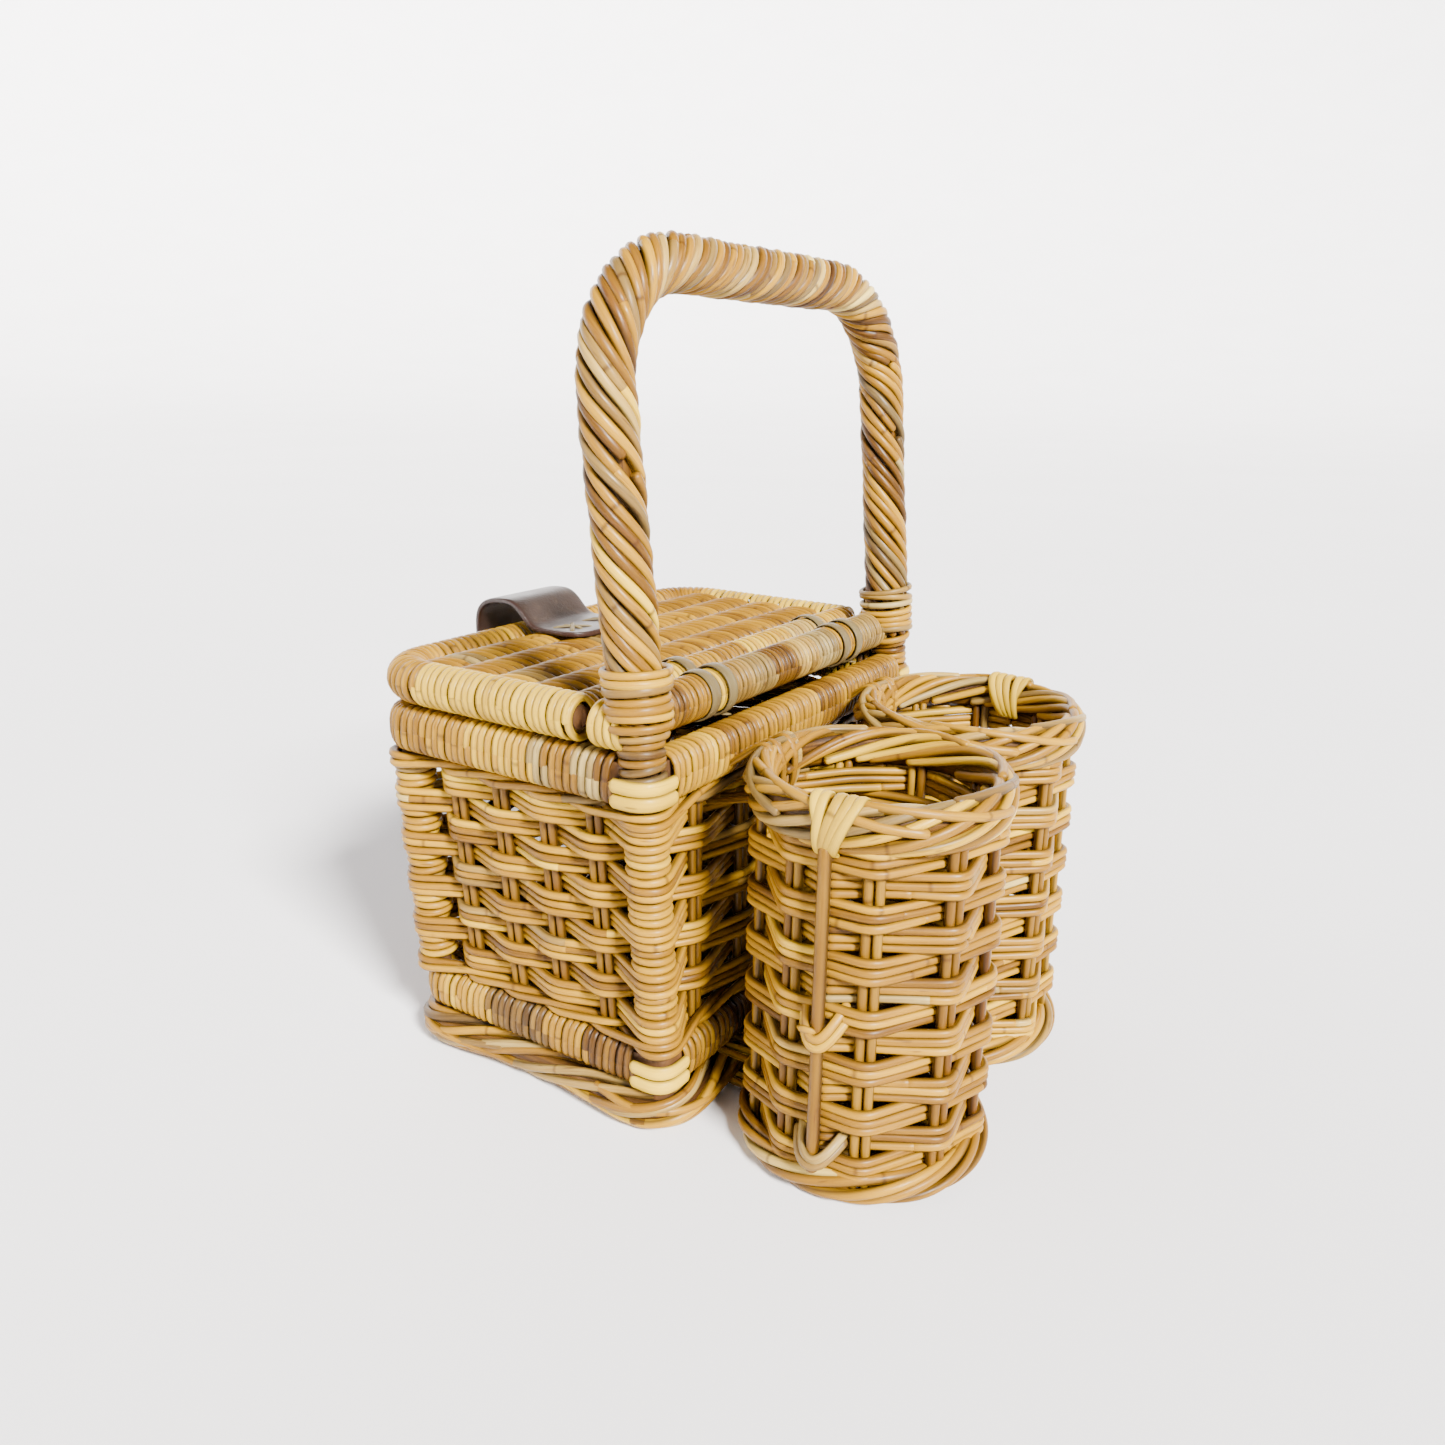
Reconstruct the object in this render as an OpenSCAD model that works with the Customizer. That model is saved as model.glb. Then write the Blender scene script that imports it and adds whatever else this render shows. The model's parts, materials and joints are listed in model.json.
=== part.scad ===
// Wicker picnic basket with a hinged lid, an overhead handle and two bottle holders.
// Millimetres, +Z up, ground at z = 0. +X runs along the basket, -Y is the strap side
// and +Y is the side that carries the handle, the hinge rail and the bottle holders.

/* [Basket body] */
// Length over the top rim
body_len = 290; // [280:1:300]
// Depth over the top rim
body_dep = 183.4; // [178:0.2:190]
// Height of the top rim above the ground
rim_top = 206; // [196:1:216]
// Height of the wrapped top rim
rim_h = 26; // [20:1:30]
// Inward run of each end wall from rim height to the ground
end_run = 15.6; // [6:0.2:20]
// Distance from the rim's outer face to the corner posts' axes
post_inset = 13.5; // [12:0.5:15]
// Thickness of a woven wall
wall_t = 12; // [9:0.5:13]
// Height of the foot border under the base rail
foot_h = 22; // [16:1:24]
// Height of the wrapped base rail
base_rail_h = 24; // [18:1:28]
// Height of each band of waling above the base rail and below the rim
wale_h = 8; // [6:1:9]

/* [Rods] */
// Diameter of the front corner posts
post_d = 12; // [10:0.5:13]
// Diameter over the wrapping of a corner post
post_wrap_d = 20; // [18:0.5:22]
// Diameter of one stake
stake_d = 4.6; // [3.6:0.2:5]
// Gap between the two stakes of a pair
stake_gap = 1; // [0.6:0.2:2]
// Stake pairs in each long wall
long_pairs = 5; // [3:1:5]
// Spacing of stake pairs in the long walls
long_pitch = 44; // [38:1:46]
// Stake pairs in each end wall
end_pairs = 4; // [3:1:4]
// Spacing of stake pairs in the end walls
end_pitch = 31.1; // [26:0.1:32]

/* [Handle] */
// Overall height of the handle above the ground
handle_top = 436; // [410:1:450]
// Diameter over the handle's outer rods
handle_d = 27; // [24:0.5:28]
// Diameter of the core rod that runs from the ground over the top
handle_core_d = 13.8; // [12:0.2:15]
// Radius of the handle's top corners, on the axis
handle_bend_r = 50; // [30:1:60]
// How far the handle's top leans towards the strap side
handle_lean = 22; // [10:1:24]
// How far each leg leans inward by the top
handle_close = 7.1; // [2:0.1:12]

/* [Lid] */
// Diameter of the lid's wrapped edge rods
lid_rod_d = 23.8; // [22:0.2:24]
// Diameter of the cane core inside the lid's edge rods
lid_core_d = 12; // [10:0.5:14]
// Radius of the lid's front corners, on the rod's axis
lid_corner_r = 26; // [20:1:32]
// Distance from the back posts' axes forward to the hinge axis
hinge_setback = 35.6; // [34.6:0.2:37]
// Thickness of the lid's weave
lid_weave_t = 12; // [8:1:12]
// Number of stakes across the lid
lid_stakes_n = 11; // [7:2:13]

/* [Bottle holders] */
// Diameter over a holder's woven wall
holder_d = 122; // [118:1:124]
// Diameter over a holder's foot border
holder_foot_d = 130; // [126:1:131]
// Diameter over a holder's rim border
holder_rim_d = 129.6; // [124:0.4:131]
// Clear diameter at a holder's rim
holder_bore = 100; // [94:1:104]
// Height of a holder
holder_h = 202; // [190:1:206]
// Distance of the left holder's axis to the left of the middle
holder_left_x = 67.5; // [66:0.5:70]
// Distance of the right holder's axis to the right of the middle
holder_right_x = 63; // [62:0.5:66]
// Gap between the back rim and the left holder's foot border
holder_gap = 2; // [2:0.5:5]
// How much further back the right holder stands than the left one
holder_step = 8; // [0:1:10]
// Stake pairs round a holder
holder_pairs = 9; // [7:2:11]

/* [Strap] */
// Width of the leather strap
strap_w = 54; // [48:1:58]
// Thickness of the leather
strap_t = 3; // [2:0.5:3.5]
// Offset of the strap from the middle of the basket
strap_x = 16; // [0:1:20]
// How far the strap's arch stands out past the front rim
strap_reach = 23.6; // [22:0.2:26]
// Length of the hanging tail below its bend
strap_drop = 118; // [100:1:130]
// Height of the toggle above the ground
toggle_z = 150; // [140:1:155]

/* [Hidden] */
$fn = 48;
eps = 0.01;
slip = 0.05;        // radial clearance of a rod in the hole it was woven into
run = 0.3;          // clearance between moving pieces
overall_dep = strap_reach + body_dep + holder_gap + holder_step + holder_foot_d;
front_y = -overall_dep / 2 + strap_reach;
back_y = front_y + body_dep;
front_post_y = front_y + post_inset;
back_post_y = back_y - post_inset;
post_top_x = body_len / 2 - post_inset;
post_top_z = 200;
rim_low = rim_top - rim_h;
rail_top = foot_h + base_rail_h;
weave_low = rail_top + wale_h;
weave_high = rim_low - wale_h;
end_slope = end_run / post_top_z;
mid_y = (front_post_y + back_post_y) / 2;
rim_t = 21;
rim_inner = rim_t - post_inset;          // rim's reach inward from the posts' axes
core_inner = 4.4;
cover = 4;                               // thickness of the wrapping over a rim's or rail's core
rim_cover = 5;                           // the same on the rim's outer face
foot_reach = 10;                         // reach of the foot border past the posts' axes
rail_reach = 11.5;                       // reach of the base rail past the posts' axes
rail_inner = 9;
wale_reach = 8;
floor_gap = 0.1;                         // between the floor and the base rail
floor_t = 8;
wrap_r = post_wrap_d / 2;
corner_len = 15;                         // half length of the rim's corner bands
leg_r = handle_d / 2;
core_r = handle_core_d / 2;
bar_z = handle_top - leg_r;
leg_rise = sqrt(pow(bar_z - post_top_z, 2) + pow(handle_lean, 2));
lean_angle = atan2(handle_lean, bar_z - post_top_z);
close_angle = atan2(handle_close, leg_rise);
bend_tangent = handle_bend_r * tan((90 - close_angle) / 2);
bar_half = post_top_x - handle_close;
bar_lap = 0.2;                           // overlap of the core's two halves in the bar
splice = 1.2;                            // half gap between a back post's top and the core
leg_start = 8;                           // where the outer rods start above the posts' tops
bind_r = leg_r + 3;
bind_len = 38;
lid_r = lid_rod_d / 2;
lid_core_r = lid_core_d / 2;
lid_z = rim_top + 0.4 + lid_r;
lid_side_x = body_len / 2 - 10.5;
lid_front_y = front_y + 3.4;
hinge_y = back_post_y - hinge_setback;
rail_r = 11.7;
rail_gap = 27;                           // between the axes of the lid's back rod and the fixed rail
rail_y = hinge_y + rail_gap;
rail_z = lid_z + 1.7;
rail_core_r = 6;
rail_half = lid_side_x - lid_r - run;      // the fixed rail stops at the stubs
loop_x = [66, -74];                      // places of the hinge loops along the rails
loop_w = 14;
loop_t = 1.4;
notch_half = 10;
notch_r = 17;
weave_rise = 7.7;                        // top of the lid's weave over its rods' axes
lid_top = lid_z + weave_rise;
lid_weave_z = lid_top - lid_weave_t;
stub_gap = 13.4;                         // from the hinge axis to the stubs of the fixed rail
clear_len = 60;                          // length of leg that the rails stop short of
back_wrap_end = 12;                      // how far the back wrapping stops past the side rods
holder_y = back_y + holder_gap + holder_foot_d / 2;   // the left holder's axis
holder_wall_t = 7;
holder_stake_d = 4.2;
holder_rim_h = 26;
holder_foot_h = 16;
holder_floor_t = 8;
seam_r = 3.2;
tie_w = 6;
tie_spread = 9;
rim_tie_h = 14;
foot_tie_h = 10;
seam_angle = [5, 186];                   // of the right and the left holder
hinge_line_y = front_y - strap_reach + strap_t / 2;
strap_rise = 17.7;                       // the strap's fold over the lid rods' axes
hinge_line_z = lid_z + strap_rise;
toggle_back = front_post_y - wall_t / 2;
toggle_bar_gap = 10.5;                   // from the strap's middle to the bar's near face
toggle_bar_y = hinge_line_y + toggle_bar_gap;
toggle_bar_t = 7;
toggle_bar_len = 26;
toggle_stem_r = 3;
slot_h = 34;
slot_w = 10;
stitch_len = 22;
stitch_w = 2.8;

// ---- helpers -------------------------------------------------------------

// Distance of the end walls' mid-plane from the middle at height z
function end_x(z) = post_top_x - (post_top_z - z) * end_slope;
// Offsets along a wall of every stake in a run of pairs
function pair_offsets(n, pitch) = [for (i = [0 : n - 1], side = [-1, 1])
    (i - (n - 1) / 2) * pitch + side * (stake_d + stake_gap) / 2];

// A straight round rod from point a to point b
module rod(a, b, r) {
    d = b - a;
    len = norm(d);
    translate(a) rotate([0, acos(d[2] / len), atan2(d[1], d[0])]) cylinder(h = len, r = r);
}

// A flat rectangle with true arc corners, given by its half sizes and corner radius
module round_rect(hx, hy, r) {
    square([2 * hx, 2 * (hy - r)], center = true);
    square([2 * (hx - r), 2 * hy], center = true);
    for (sx = [-1, 1], sy = [-1, 1]) translate([sx * (hx - r), sy * (hy - r)]) circle(r);
}

// A band round the basket between heights z0 and z1, by its reach out and in from the posts
module band(z0, z1, reach_out, reach_in, r = 12) {
    hx = end_x((z0 + z1) / 2);
    hy = (back_post_y - front_post_y) / 2;
    translate([0, mid_y, z0]) linear_extrude(z1 - z0) difference() {
        round_rect(hx + reach_out, hy + reach_out, r);
        square([2 * (hx - reach_in), 2 * (hy - reach_in)], center = true);
    }
}

// The two front posts
module posts(grow) {
    for (s = [-1, 1])
        rod([s * end_x(0), front_post_y, 0], [s * end_x(post_top_z), front_post_y, post_top_z],
            post_d / 2 + grow);
}
// The two back posts, whose tops meet the handle's core
module back_posts(grow) {
    top = post_top_z - splice;
    for (s = [-1, 1])
        rod([s * end_x(0), back_post_y, 0], [s * end_x(top), back_post_y, top], core_r + grow);
}
// Every stake of the four walls
module stakes(grow) {
    r = stake_d / 2 + grow;
    for (x = pair_offsets(long_pairs, long_pitch), y = [front_post_y, back_post_y])
        rod([x, y, rail_top], [x, y, rim_low], r);
    for (s = [-1, 1], y = pair_offsets(end_pairs, end_pitch))
        rod([s * end_x(rail_top), mid_y + y, rail_top], [s * end_x(rim_low), mid_y + y, rim_low], r);
}
module all_posts(grow) {
    posts(grow);
    back_posts(grow);
}

// Places a child in the handle's leaning plane: x across, z up along the lean, from the posts' tops
module in_handle_plane() translate([0, back_post_y, post_top_z]) rotate([lean_angle, 0, 0]) children();
// Centre of the right-hand bend in the handle's plane
bend_x = bar_half + bend_tangent * sin(close_angle) - handle_bend_r * cos(close_angle);
bend_z = leg_rise - bend_tangent * cos(close_angle) - handle_bend_r * sin(close_angle);
leg_len = leg_rise / cos(close_angle) - bend_tangent;
// Places a child at both bends, with the leg's end on its +X axis
module at_bends() in_handle_plane() for (s = [0, 1]) mirror([s, 0, 0])
    translate([bend_x, 0, bend_z]) rotate([90, 0, 0]) rotate([0, 0, close_angle]) children();
module bend_sweep() rotate_extrude(angle = 90 - close_angle) translate([handle_bend_r, 0]) children();
module leg_sweep(start) translate([handle_bend_r, 0, 0]) rotate([90, 0, 0])
    linear_extrude(leg_len - start) children();
module rod_ring() difference() {
    circle(leg_r);
    circle(core_r + slip);
}
// The straight lower stretch of both legs, as solid rods
module leg_stretch(r, from, to) {
    for (s = [0, 1]) mirror([s, 0, 0])
        translate([0, back_post_y, post_top_z]) rotate([lean_angle, 0, 0])
            rod([post_top_x - from * sin(close_angle), 0, from * cos(close_angle)],
                [post_top_x - to * sin(close_angle), 0, to * cos(close_angle)], r);
}

// ---- base ------------------------------------------------------------------

module floor_weave() color("peru") translate([0, mid_y, foot_h + 3])
    linear_extrude(floor_t) square([2 * (end_x(foot_h + base_rail_h / 2) - rail_inner - floor_gap),
        back_post_y - front_post_y - 2 * (rail_inner + floor_gap)], center = true);

module foot_border() color("burlywood") difference() {
    band(0, foot_h, foot_reach, 8);
    all_posts(slip);
}

module base_rail_core() color("sienna") difference() {
    band(foot_h + cover, rail_top - cover, rail_reach - cover, rail_inner - cover, 8);
    all_posts(slip);
}
module base_rail_wrap() color("burlywood") difference() {
    band(foot_h, rail_top, rail_reach, rail_inner, 14);
    band(foot_h + cover - slip, rail_top - cover + slip, rail_reach - cover + slip,
        rail_inner - cover + slip, 8);
    all_posts(slip);
}
// Cuts a ring into its four sides along the diagonals of its corners
module side_cut(side) {
    reach = 400;
    inner = 20;
    hx = end_x(foot_h);
    hy = (back_post_y - front_post_y) / 2;
    long_side = side == "front" || side == "back";
    flip = side == "front" || side == "left" ? 1 : 0;
    translate([0, mid_y, -1]) mirror([long_side ? 0 : flip, long_side ? flip : 0, 0])
        linear_extrude(reach) polygon(long_side
            ? [[-hx + inner, hy - inner], [-hx - reach, hy + reach], [hx + reach, hy + reach],
               [hx - inner, hy - inner]]
            : [[hx - inner, hy - inner], [hx + reach, hy + reach], [hx + reach, -hy - reach],
               [hx - inner, -hy + inner]]);
}
module base_rail_side(side) intersection() {
    base_rail_wrap();
    side_cut(side);
}
module base_rail_front() base_rail_side("front");
module base_rail_back() base_rail_side("back");
module base_rail_left() base_rail_side("left");
module base_rail_right() base_rail_side("right");

// ---- walls -----------------------------------------------------------------

module lower_waling() color("peru") difference() {
    band(rail_top, weave_low, wale_reach, wale_reach);
    all_posts(slip);
    stakes(slip);
}
module upper_waling() color("peru") difference() {
    band(weave_high, rim_low, wale_reach, wale_reach);
    all_posts(slip);
    stakes(slip);
}
// Half length of a long wall between the corner wraps, at height z
function wall_half(z) = end_x(z) - wrap_r - slip;
module long_wall(y) color("goldenrod") difference() {
    translate([0, y + wall_t / 2, 0]) rotate([90, 0, 0]) linear_extrude(wall_t)
        polygon([[-wall_half(weave_low), weave_low], [wall_half(weave_low), weave_low],
            [wall_half(weave_high), weave_high], [-wall_half(weave_high), weave_high]]);
    stakes(slip);
}
module end_wall(s) color("goldenrod") difference() {
    half = wall_t / 2;
    rotate([90, 0, 0]) translate([0, 0, -back_post_y + wrap_r + slip])
        linear_extrude(back_post_y - front_post_y - 2 * wrap_r - 2 * slip)
            polygon([[s * (end_x(weave_low) - half), weave_low],
                [s * (end_x(weave_low) + half), weave_low],
                [s * (end_x(weave_high) + half), weave_high],
                [s * (end_x(weave_high) - half), weave_high]]);
    stakes(slip);
}
module wall_front() long_wall(front_post_y);
module wall_back() long_wall(back_post_y);
module wall_left() end_wall(-1);
module wall_right() end_wall(1);
module wall_stakes() color("saddlebrown") stakes(0);
module corner_posts() color("sienna") {
    posts(0);
    back_posts(0);
}

// Turned wrapping on one corner post, between the two bands of waling
module corner_wrap(s, y, r) color("burlywood") intersection() {
    difference() {
        rod([s * end_x(0), y, 0], [s * end_x(post_top_z), y, post_top_z], wrap_r);
        rod([s * end_x(-5), y, -5], [s * end_x(post_top_z + 5), y, post_top_z + 5], r + slip);
    }
    translate([-200, y - 20, weave_low]) cube([400, 40, weave_high - weave_low]);
}
module corner_wrap_front_left() corner_wrap(-1, front_post_y, post_d / 2);
module corner_wrap_front_right() corner_wrap(1, front_post_y, post_d / 2);
module corner_wrap_back_left() corner_wrap(-1, back_post_y, core_r);
module corner_wrap_back_right() corner_wrap(1, back_post_y, core_r);

// ---- top rim ---------------------------------------------------------------

// Holes through the rim for the front posts, and for the handle where it meets the back posts
module rim_holes() {
    posts(slip);
    for (s = [-1, 1]) translate([s * post_top_x, back_post_y, rim_low - 1])
        cylinder(h = rim_h + 2, r = core_r + 2.2);
}
module rim_core() color("sienna") difference() {
    band(rim_low + cover, rim_top - cover, post_inset - rim_cover, core_inner, 9);
    rim_holes();
}
// The four places where the corner bands sit
module rim_corners() {
    for (s = [-1, 1], y = [front_post_y, back_post_y])
        translate([s * post_top_x, y, rim_top - rim_h / 2])
            cube([2 * corner_len, 2 * corner_len, rim_h + 1], center = true);
}
module rim_wrap() difference() {
    band(rim_low, rim_top, post_inset, rim_inner, 12);
    band(rim_low + cover - slip, rim_top - cover + slip, post_inset - rim_cover + slip,
        core_inner + slip, 9);
    rim_holes();
}
module rim_side(side) color("tan") intersection() {
    difference() {
        rim_wrap();
        rim_corners();
    }
    side_cut(side);
}
module rim_front() rim_side("front");
module rim_back() rim_side("back");
module rim_left() rim_side("left");
module rim_right() rim_side("right");
module rim_corner_bands() color("wheat") intersection() {
    rim_wrap();
    rim_corners();
}

// ---- handle and hinge rail -------------------------------------------------

module handle_core() color("sienna") at_bends() {
    bend_sweep() circle(core_r);
    leg_sweep(splice) circle(core_r);
    rotate([0, 0, 90 - close_angle]) translate([handle_bend_r, 0, 0])
        rotate([-90, 0, 0]) cylinder(h = bend_x + bar_lap, r = core_r);
}
module handle_leg_rods() color("goldenrod") at_bends() leg_sweep(leg_start) rod_ring();
module handle_bend_rods() color("goldenrod") at_bends() bend_sweep() rod_ring();
module handle_bar_rods() color("goldenrod") in_handle_plane()
    translate([-bend_x, 0, leg_rise]) rotate([90, 0, 90]) linear_extrude(2 * bend_x) rod_ring();
module leg_bindings() color("tan") difference() {
    leg_stretch(bind_r, leg_start, leg_start + bind_len);
    leg_stretch(leg_r + slip, leg_start - 4, leg_start + bind_len + 4);
}
module hinge_rail_core() color("sienna") difference() {
    rod([-rail_half, rail_y, rail_z], [rail_half, rail_y, rail_z], rail_core_r);
    leg_stretch(bind_r, 0, clear_len);
}
module hinge_rail_wrap() color("tan") difference() {
    rod([-rail_half, rail_y, rail_z], [rail_half, rail_y, rail_z], rail_r);
    rod([-rail_half - 5, rail_y, rail_z], [rail_half + 5, rail_y, rail_z], rail_core_r + slip);
    leg_stretch(bind_r, 0, clear_len);
}
// Short wrapped ends between each leg and the lid's side rods
module rail_stubs() color("wheat") difference() {
    for (s = [-1, 1])
        rod([s * lid_side_x, hinge_y + stub_gap, lid_z], [s * lid_side_x, back_post_y - 6, lid_z],
            lid_r - 0.2);
    leg_stretch(bind_r, 0, clear_len);
}
// Belt-shaped outline round both rails
module belt(r) {
    tilt = atan2(rail_z - lid_z, rail_y - hinge_y);
    span = norm([rail_z - lid_z, rail_y - hinge_y]);
    rotate(tilt) {
        circle(r);
        translate([span, 0]) circle(r);
        translate([0, -r]) square([span, 2 * r]);
    }
}
module hinge_loops() color("gray")
    for (x = loop_x) translate([x - loop_w / 2, hinge_y, lid_z])
        rotate([90, 0, 90]) linear_extrude(loop_w) difference() {
            belt(lid_r + run + loop_t);
            belt(lid_r + run);
        }

// ---- toggle ----------------------------------------------------------------

module toggle_lashing() color("wheat") difference() {
    translate([strap_x, toggle_back, toggle_z]) rotate([90, 0, 0]) cylinder(h = 8, r = 10);
    translate([strap_x, toggle_back + 1, toggle_z]) rotate([90, 0, 0])
        cylinder(h = 20, r = toggle_stem_r + slip);
}
module toggle() color("saddlebrown") {
    translate([strap_x, toggle_back - 0.5, toggle_z]) rotate([90, 0, 0])
        cylinder(h = toggle_back - toggle_bar_y - 0.5 + eps, r = toggle_stem_r);
    translate([strap_x, toggle_bar_y, toggle_z]) rotate([90, 0, 0])
        linear_extrude(toggle_bar_t)
            round_rect(toggle_bar_t / 2, toggle_bar_len / 2, toggle_bar_t / 2 - eps);
}

// ---- bottle holders --------------------------------------------------------

// Places a holder's pieces: side is -1 for the left one and 1 for the right one
function holder_x(side) = side > 0 ? holder_right_x : -holder_left_x;
function holder_back(side) = side > 0 ? holder_y + holder_step : holder_y;
module at_holder(side) translate([holder_x(side), holder_back(side), 0]) children();
module tube(z0, z1, r_out, r_in) translate([0, 0, z0]) difference() {
    cylinder(h = z1 - z0, r = r_out, $fn = 96);
    translate([0, 0, -1]) cylinder(h = z1 - z0 + 2, r = r_in, $fn = 96);
}
module holder_stake_set(grow) {
    radius = (holder_d - holder_wall_t) / 2;
    step = (holder_stake_d + stake_gap) / 2 / radius * 180 / PI;
    for (i = [0 : holder_pairs - 1], s = [-1, 1])
        rotate(i * 360 / holder_pairs + s * step + 20) translate([radius, 0, holder_foot_h])
            cylinder(h = holder_h - holder_rim_h - holder_foot_h, r = holder_stake_d / 2 + grow);
}
module seam_rod(side, grow) {
    radius = holder_d / 2 + seam_r + 0.1;
    rotate(seam_angle[(1 - side) / 2]) translate([radius, 0, holder_foot_h])
        cylinder(h = holder_h - holder_rim_h - holder_foot_h, r = seam_r + grow);
}
module holder_wall(side) color("goldenrod") at_holder(side) difference() {
    tube(holder_foot_h, holder_h - holder_rim_h, holder_d / 2, holder_d / 2 - holder_wall_t);
    holder_stake_set(slip);
}
module holder_stakes(side) color("saddlebrown") at_holder(side) holder_stake_set(0);
module holder_rim(side) color("burlywood") at_holder(side)
    tube(holder_h - holder_rim_h, holder_h, holder_rim_d / 2, holder_bore / 2);
module holder_foot(side) color("burlywood") at_holder(side)
    tube(0, holder_foot_h, holder_foot_d / 2, holder_d / 2 - holder_wall_t - 2);
module holder_floor(side) color("peru") at_holder(side) translate([0, 0, 5])
    cylinder(h = holder_floor_t, r = holder_d / 2 - holder_wall_t - 2 - slip, $fn = 96);
module holder_seam(side) color("saddlebrown") at_holder(side) seam_rod(side, 0);
// Cane lashings that hold a holder's rim and foot to the basket's back
module holder_ties(side) color("wheat") {
    foot_face = back_post_y + foot_reach;
    difference() {
        for (dx = [-tie_spread, tie_spread]) {
            translate([holder_x(side) + dx - tie_w / 2, back_y, rim_top - rim_h / 2 - rim_tie_h / 2])
                cube([tie_w, holder_back(side) - back_y, rim_tie_h]);
            translate([holder_x(side) + dx - tie_w / 2, foot_face, foot_h / 2 - foot_tie_h / 2])
                cube([tie_w, holder_back(side) - foot_face, foot_tie_h]);
        }
        at_holder(side) translate([0, 0, rim_low - 8]) cylinder(h = 60, r = holder_rim_d / 2, $fn = 96);
        at_holder(side) translate([0, 0, -1]) cylinder(h = 60, r = holder_foot_d / 2, $fn = 96);
    }
}
module holder_left_wall() holder_wall(-1);
module holder_left_stakes() holder_stakes(-1);
module holder_left_rim() holder_rim(-1);
module holder_left_foot() holder_foot(-1);
module holder_left_floor() holder_floor(-1);
module holder_left_seam() holder_seam(-1);
module holder_left_ties() holder_ties(-1);
module holder_right_wall() holder_wall(1);
module holder_right_stakes() holder_stakes(1);
module holder_right_rim() holder_rim(1);
module holder_right_foot() holder_foot(1);
module holder_right_floor() holder_floor(1);
module holder_right_seam() holder_seam(1);
module holder_right_ties() holder_ties(1);

// ---- lid -------------------------------------------------------------------

// The lid's two front bends
module lid_bends(r) for (s = [0, 1]) mirror([s, 0, 0])
    translate([lid_side_x - lid_corner_r, lid_front_y + lid_corner_r, lid_z]) rotate([0, 0, -90])
        rotate_extrude(angle = 90) translate([lid_corner_r, 0]) circle(r);
module lid_front_rod(r) rod([-lid_side_x + lid_corner_r, lid_front_y, lid_z],
    [lid_side_x - lid_corner_r, lid_front_y, lid_z], r);
module lid_side_rod(s, r, end) rod([s * lid_side_x, lid_front_y + lid_corner_r, lid_z],
    [s * lid_side_x, hinge_y + end, lid_z], r);
module lid_back_rod(r) rod([-lid_side_x, hinge_y, lid_z], [lid_side_x, hinge_y, lid_z], r);
module lid_core_shape(grow) {
    lid_bends(lid_core_r + grow);
    lid_front_rod(lid_core_r + grow);
    for (s = [-1, 1]) lid_side_rod(s, lid_core_r + grow, 2);
    lid_back_rod(lid_core_r - 1 + grow);
}
module lid_core() color("sienna") lid_core_shape(0);
module lid_wrap_front() color("burlywood") difference() {
    union() {
        lid_bends(lid_r);
        lid_front_rod(lid_r);
    }
    lid_core_shape(slip);
}
module lid_wrap_side(s) color("wheat") difference() {
    lid_side_rod(s, lid_r, 2.5);
    lid_core_shape(slip);
}
module lid_wrap_left() lid_wrap_side(-1);
module lid_wrap_right() lid_wrap_side(1);
module lid_wrap_back() color("tan") difference() {
    lid_back_rod(lid_r - 0.1);
    lid_core_shape(slip);
    for (s = [-1, 1]) lid_side_rod(s, lid_r, back_wrap_end);
}
module lid_stake_set(grow) {
    pitch = 2 * (lid_side_x - lid_r) / (lid_stakes_n + 1);
    for (i = [-(lid_stakes_n - 1) / 2 : (lid_stakes_n - 1) / 2]) {
        near_loop = min([for (x = loop_x) abs(i * pitch - x)]) < notch_half + 3;
        rod([i * pitch, lid_front_y + lid_r + 1, lid_z + 1],
            [i * pitch, hinge_y - (near_loop ? notch_r : lid_r) - 1, lid_z + 1],
            stake_d / 2 - 0.2 + grow);
    }
}
module lid_weave() color("peru") difference() {
    hx = lid_side_x - lid_r - 0.1;
    y0 = lid_front_y + lid_r + 0.1;
    y1 = hinge_y - lid_r - 0.1;
    translate([0, y0, lid_weave_z]) linear_extrude(lid_weave_t) difference() {
        union() {
            translate([0, (y1 - y0) / 2]) round_rect(hx, (y1 - y0) / 2, 16);
            translate([-hx, (y1 - y0) / 2]) square([2 * hx, (y1 - y0) / 2]);
        }
        for (x = loop_x) translate([x - notch_half, hinge_y - notch_r - y0])
            square([2 * notch_half, 40]);
    }
    lid_stake_set(slip);
}
module lid_stakes() color("saddlebrown") lid_stake_set(0);

// ---- leather strap ---------------------------------------------------------

// Middle line of the strap's arch, as (y, z), from the lid's weave out over its front edge
function bezier(p, t) = pow(1 - t, 3) * p[0] + 3 * t * pow(1 - t, 2) * p[1]
    + 3 * t * t * (1 - t) * p[2] + pow(t, 3) * p[3];
sewn_reach = 24;                         // from the lid's front rod to where the strap lies flat
sewn_len = 30;
arch_rise = 26;
arch_pull = [9, 11, 13, 8];              // how strongly the arch's curves follow their ends
arch_start = [lid_front_y + sewn_reach, lid_top + 0.1 + strap_t / 2];
arch_top = [lid_front_y - 1, lid_z + arch_rise];
arch_end = [hinge_line_y, hinge_line_z + strap_t / 2 + run];
arch_in = [arch_start, arch_start - [arch_pull[0], 0], arch_top + [arch_pull[1], 0], arch_top];
arch_out = [arch_top, arch_top - [arch_pull[2], 0], arch_end + [0, arch_pull[3]], arch_end];
arch_steps = 8;
arch_line = concat([arch_start + [sewn_len, 0]],
    [for (i = [0 : arch_steps]) bezier(arch_in, i / arch_steps)],
    [for (i = [1 : arch_steps]) bezier(arch_out, i / arch_steps)]);
last = len(arch_line) - 1;
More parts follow.
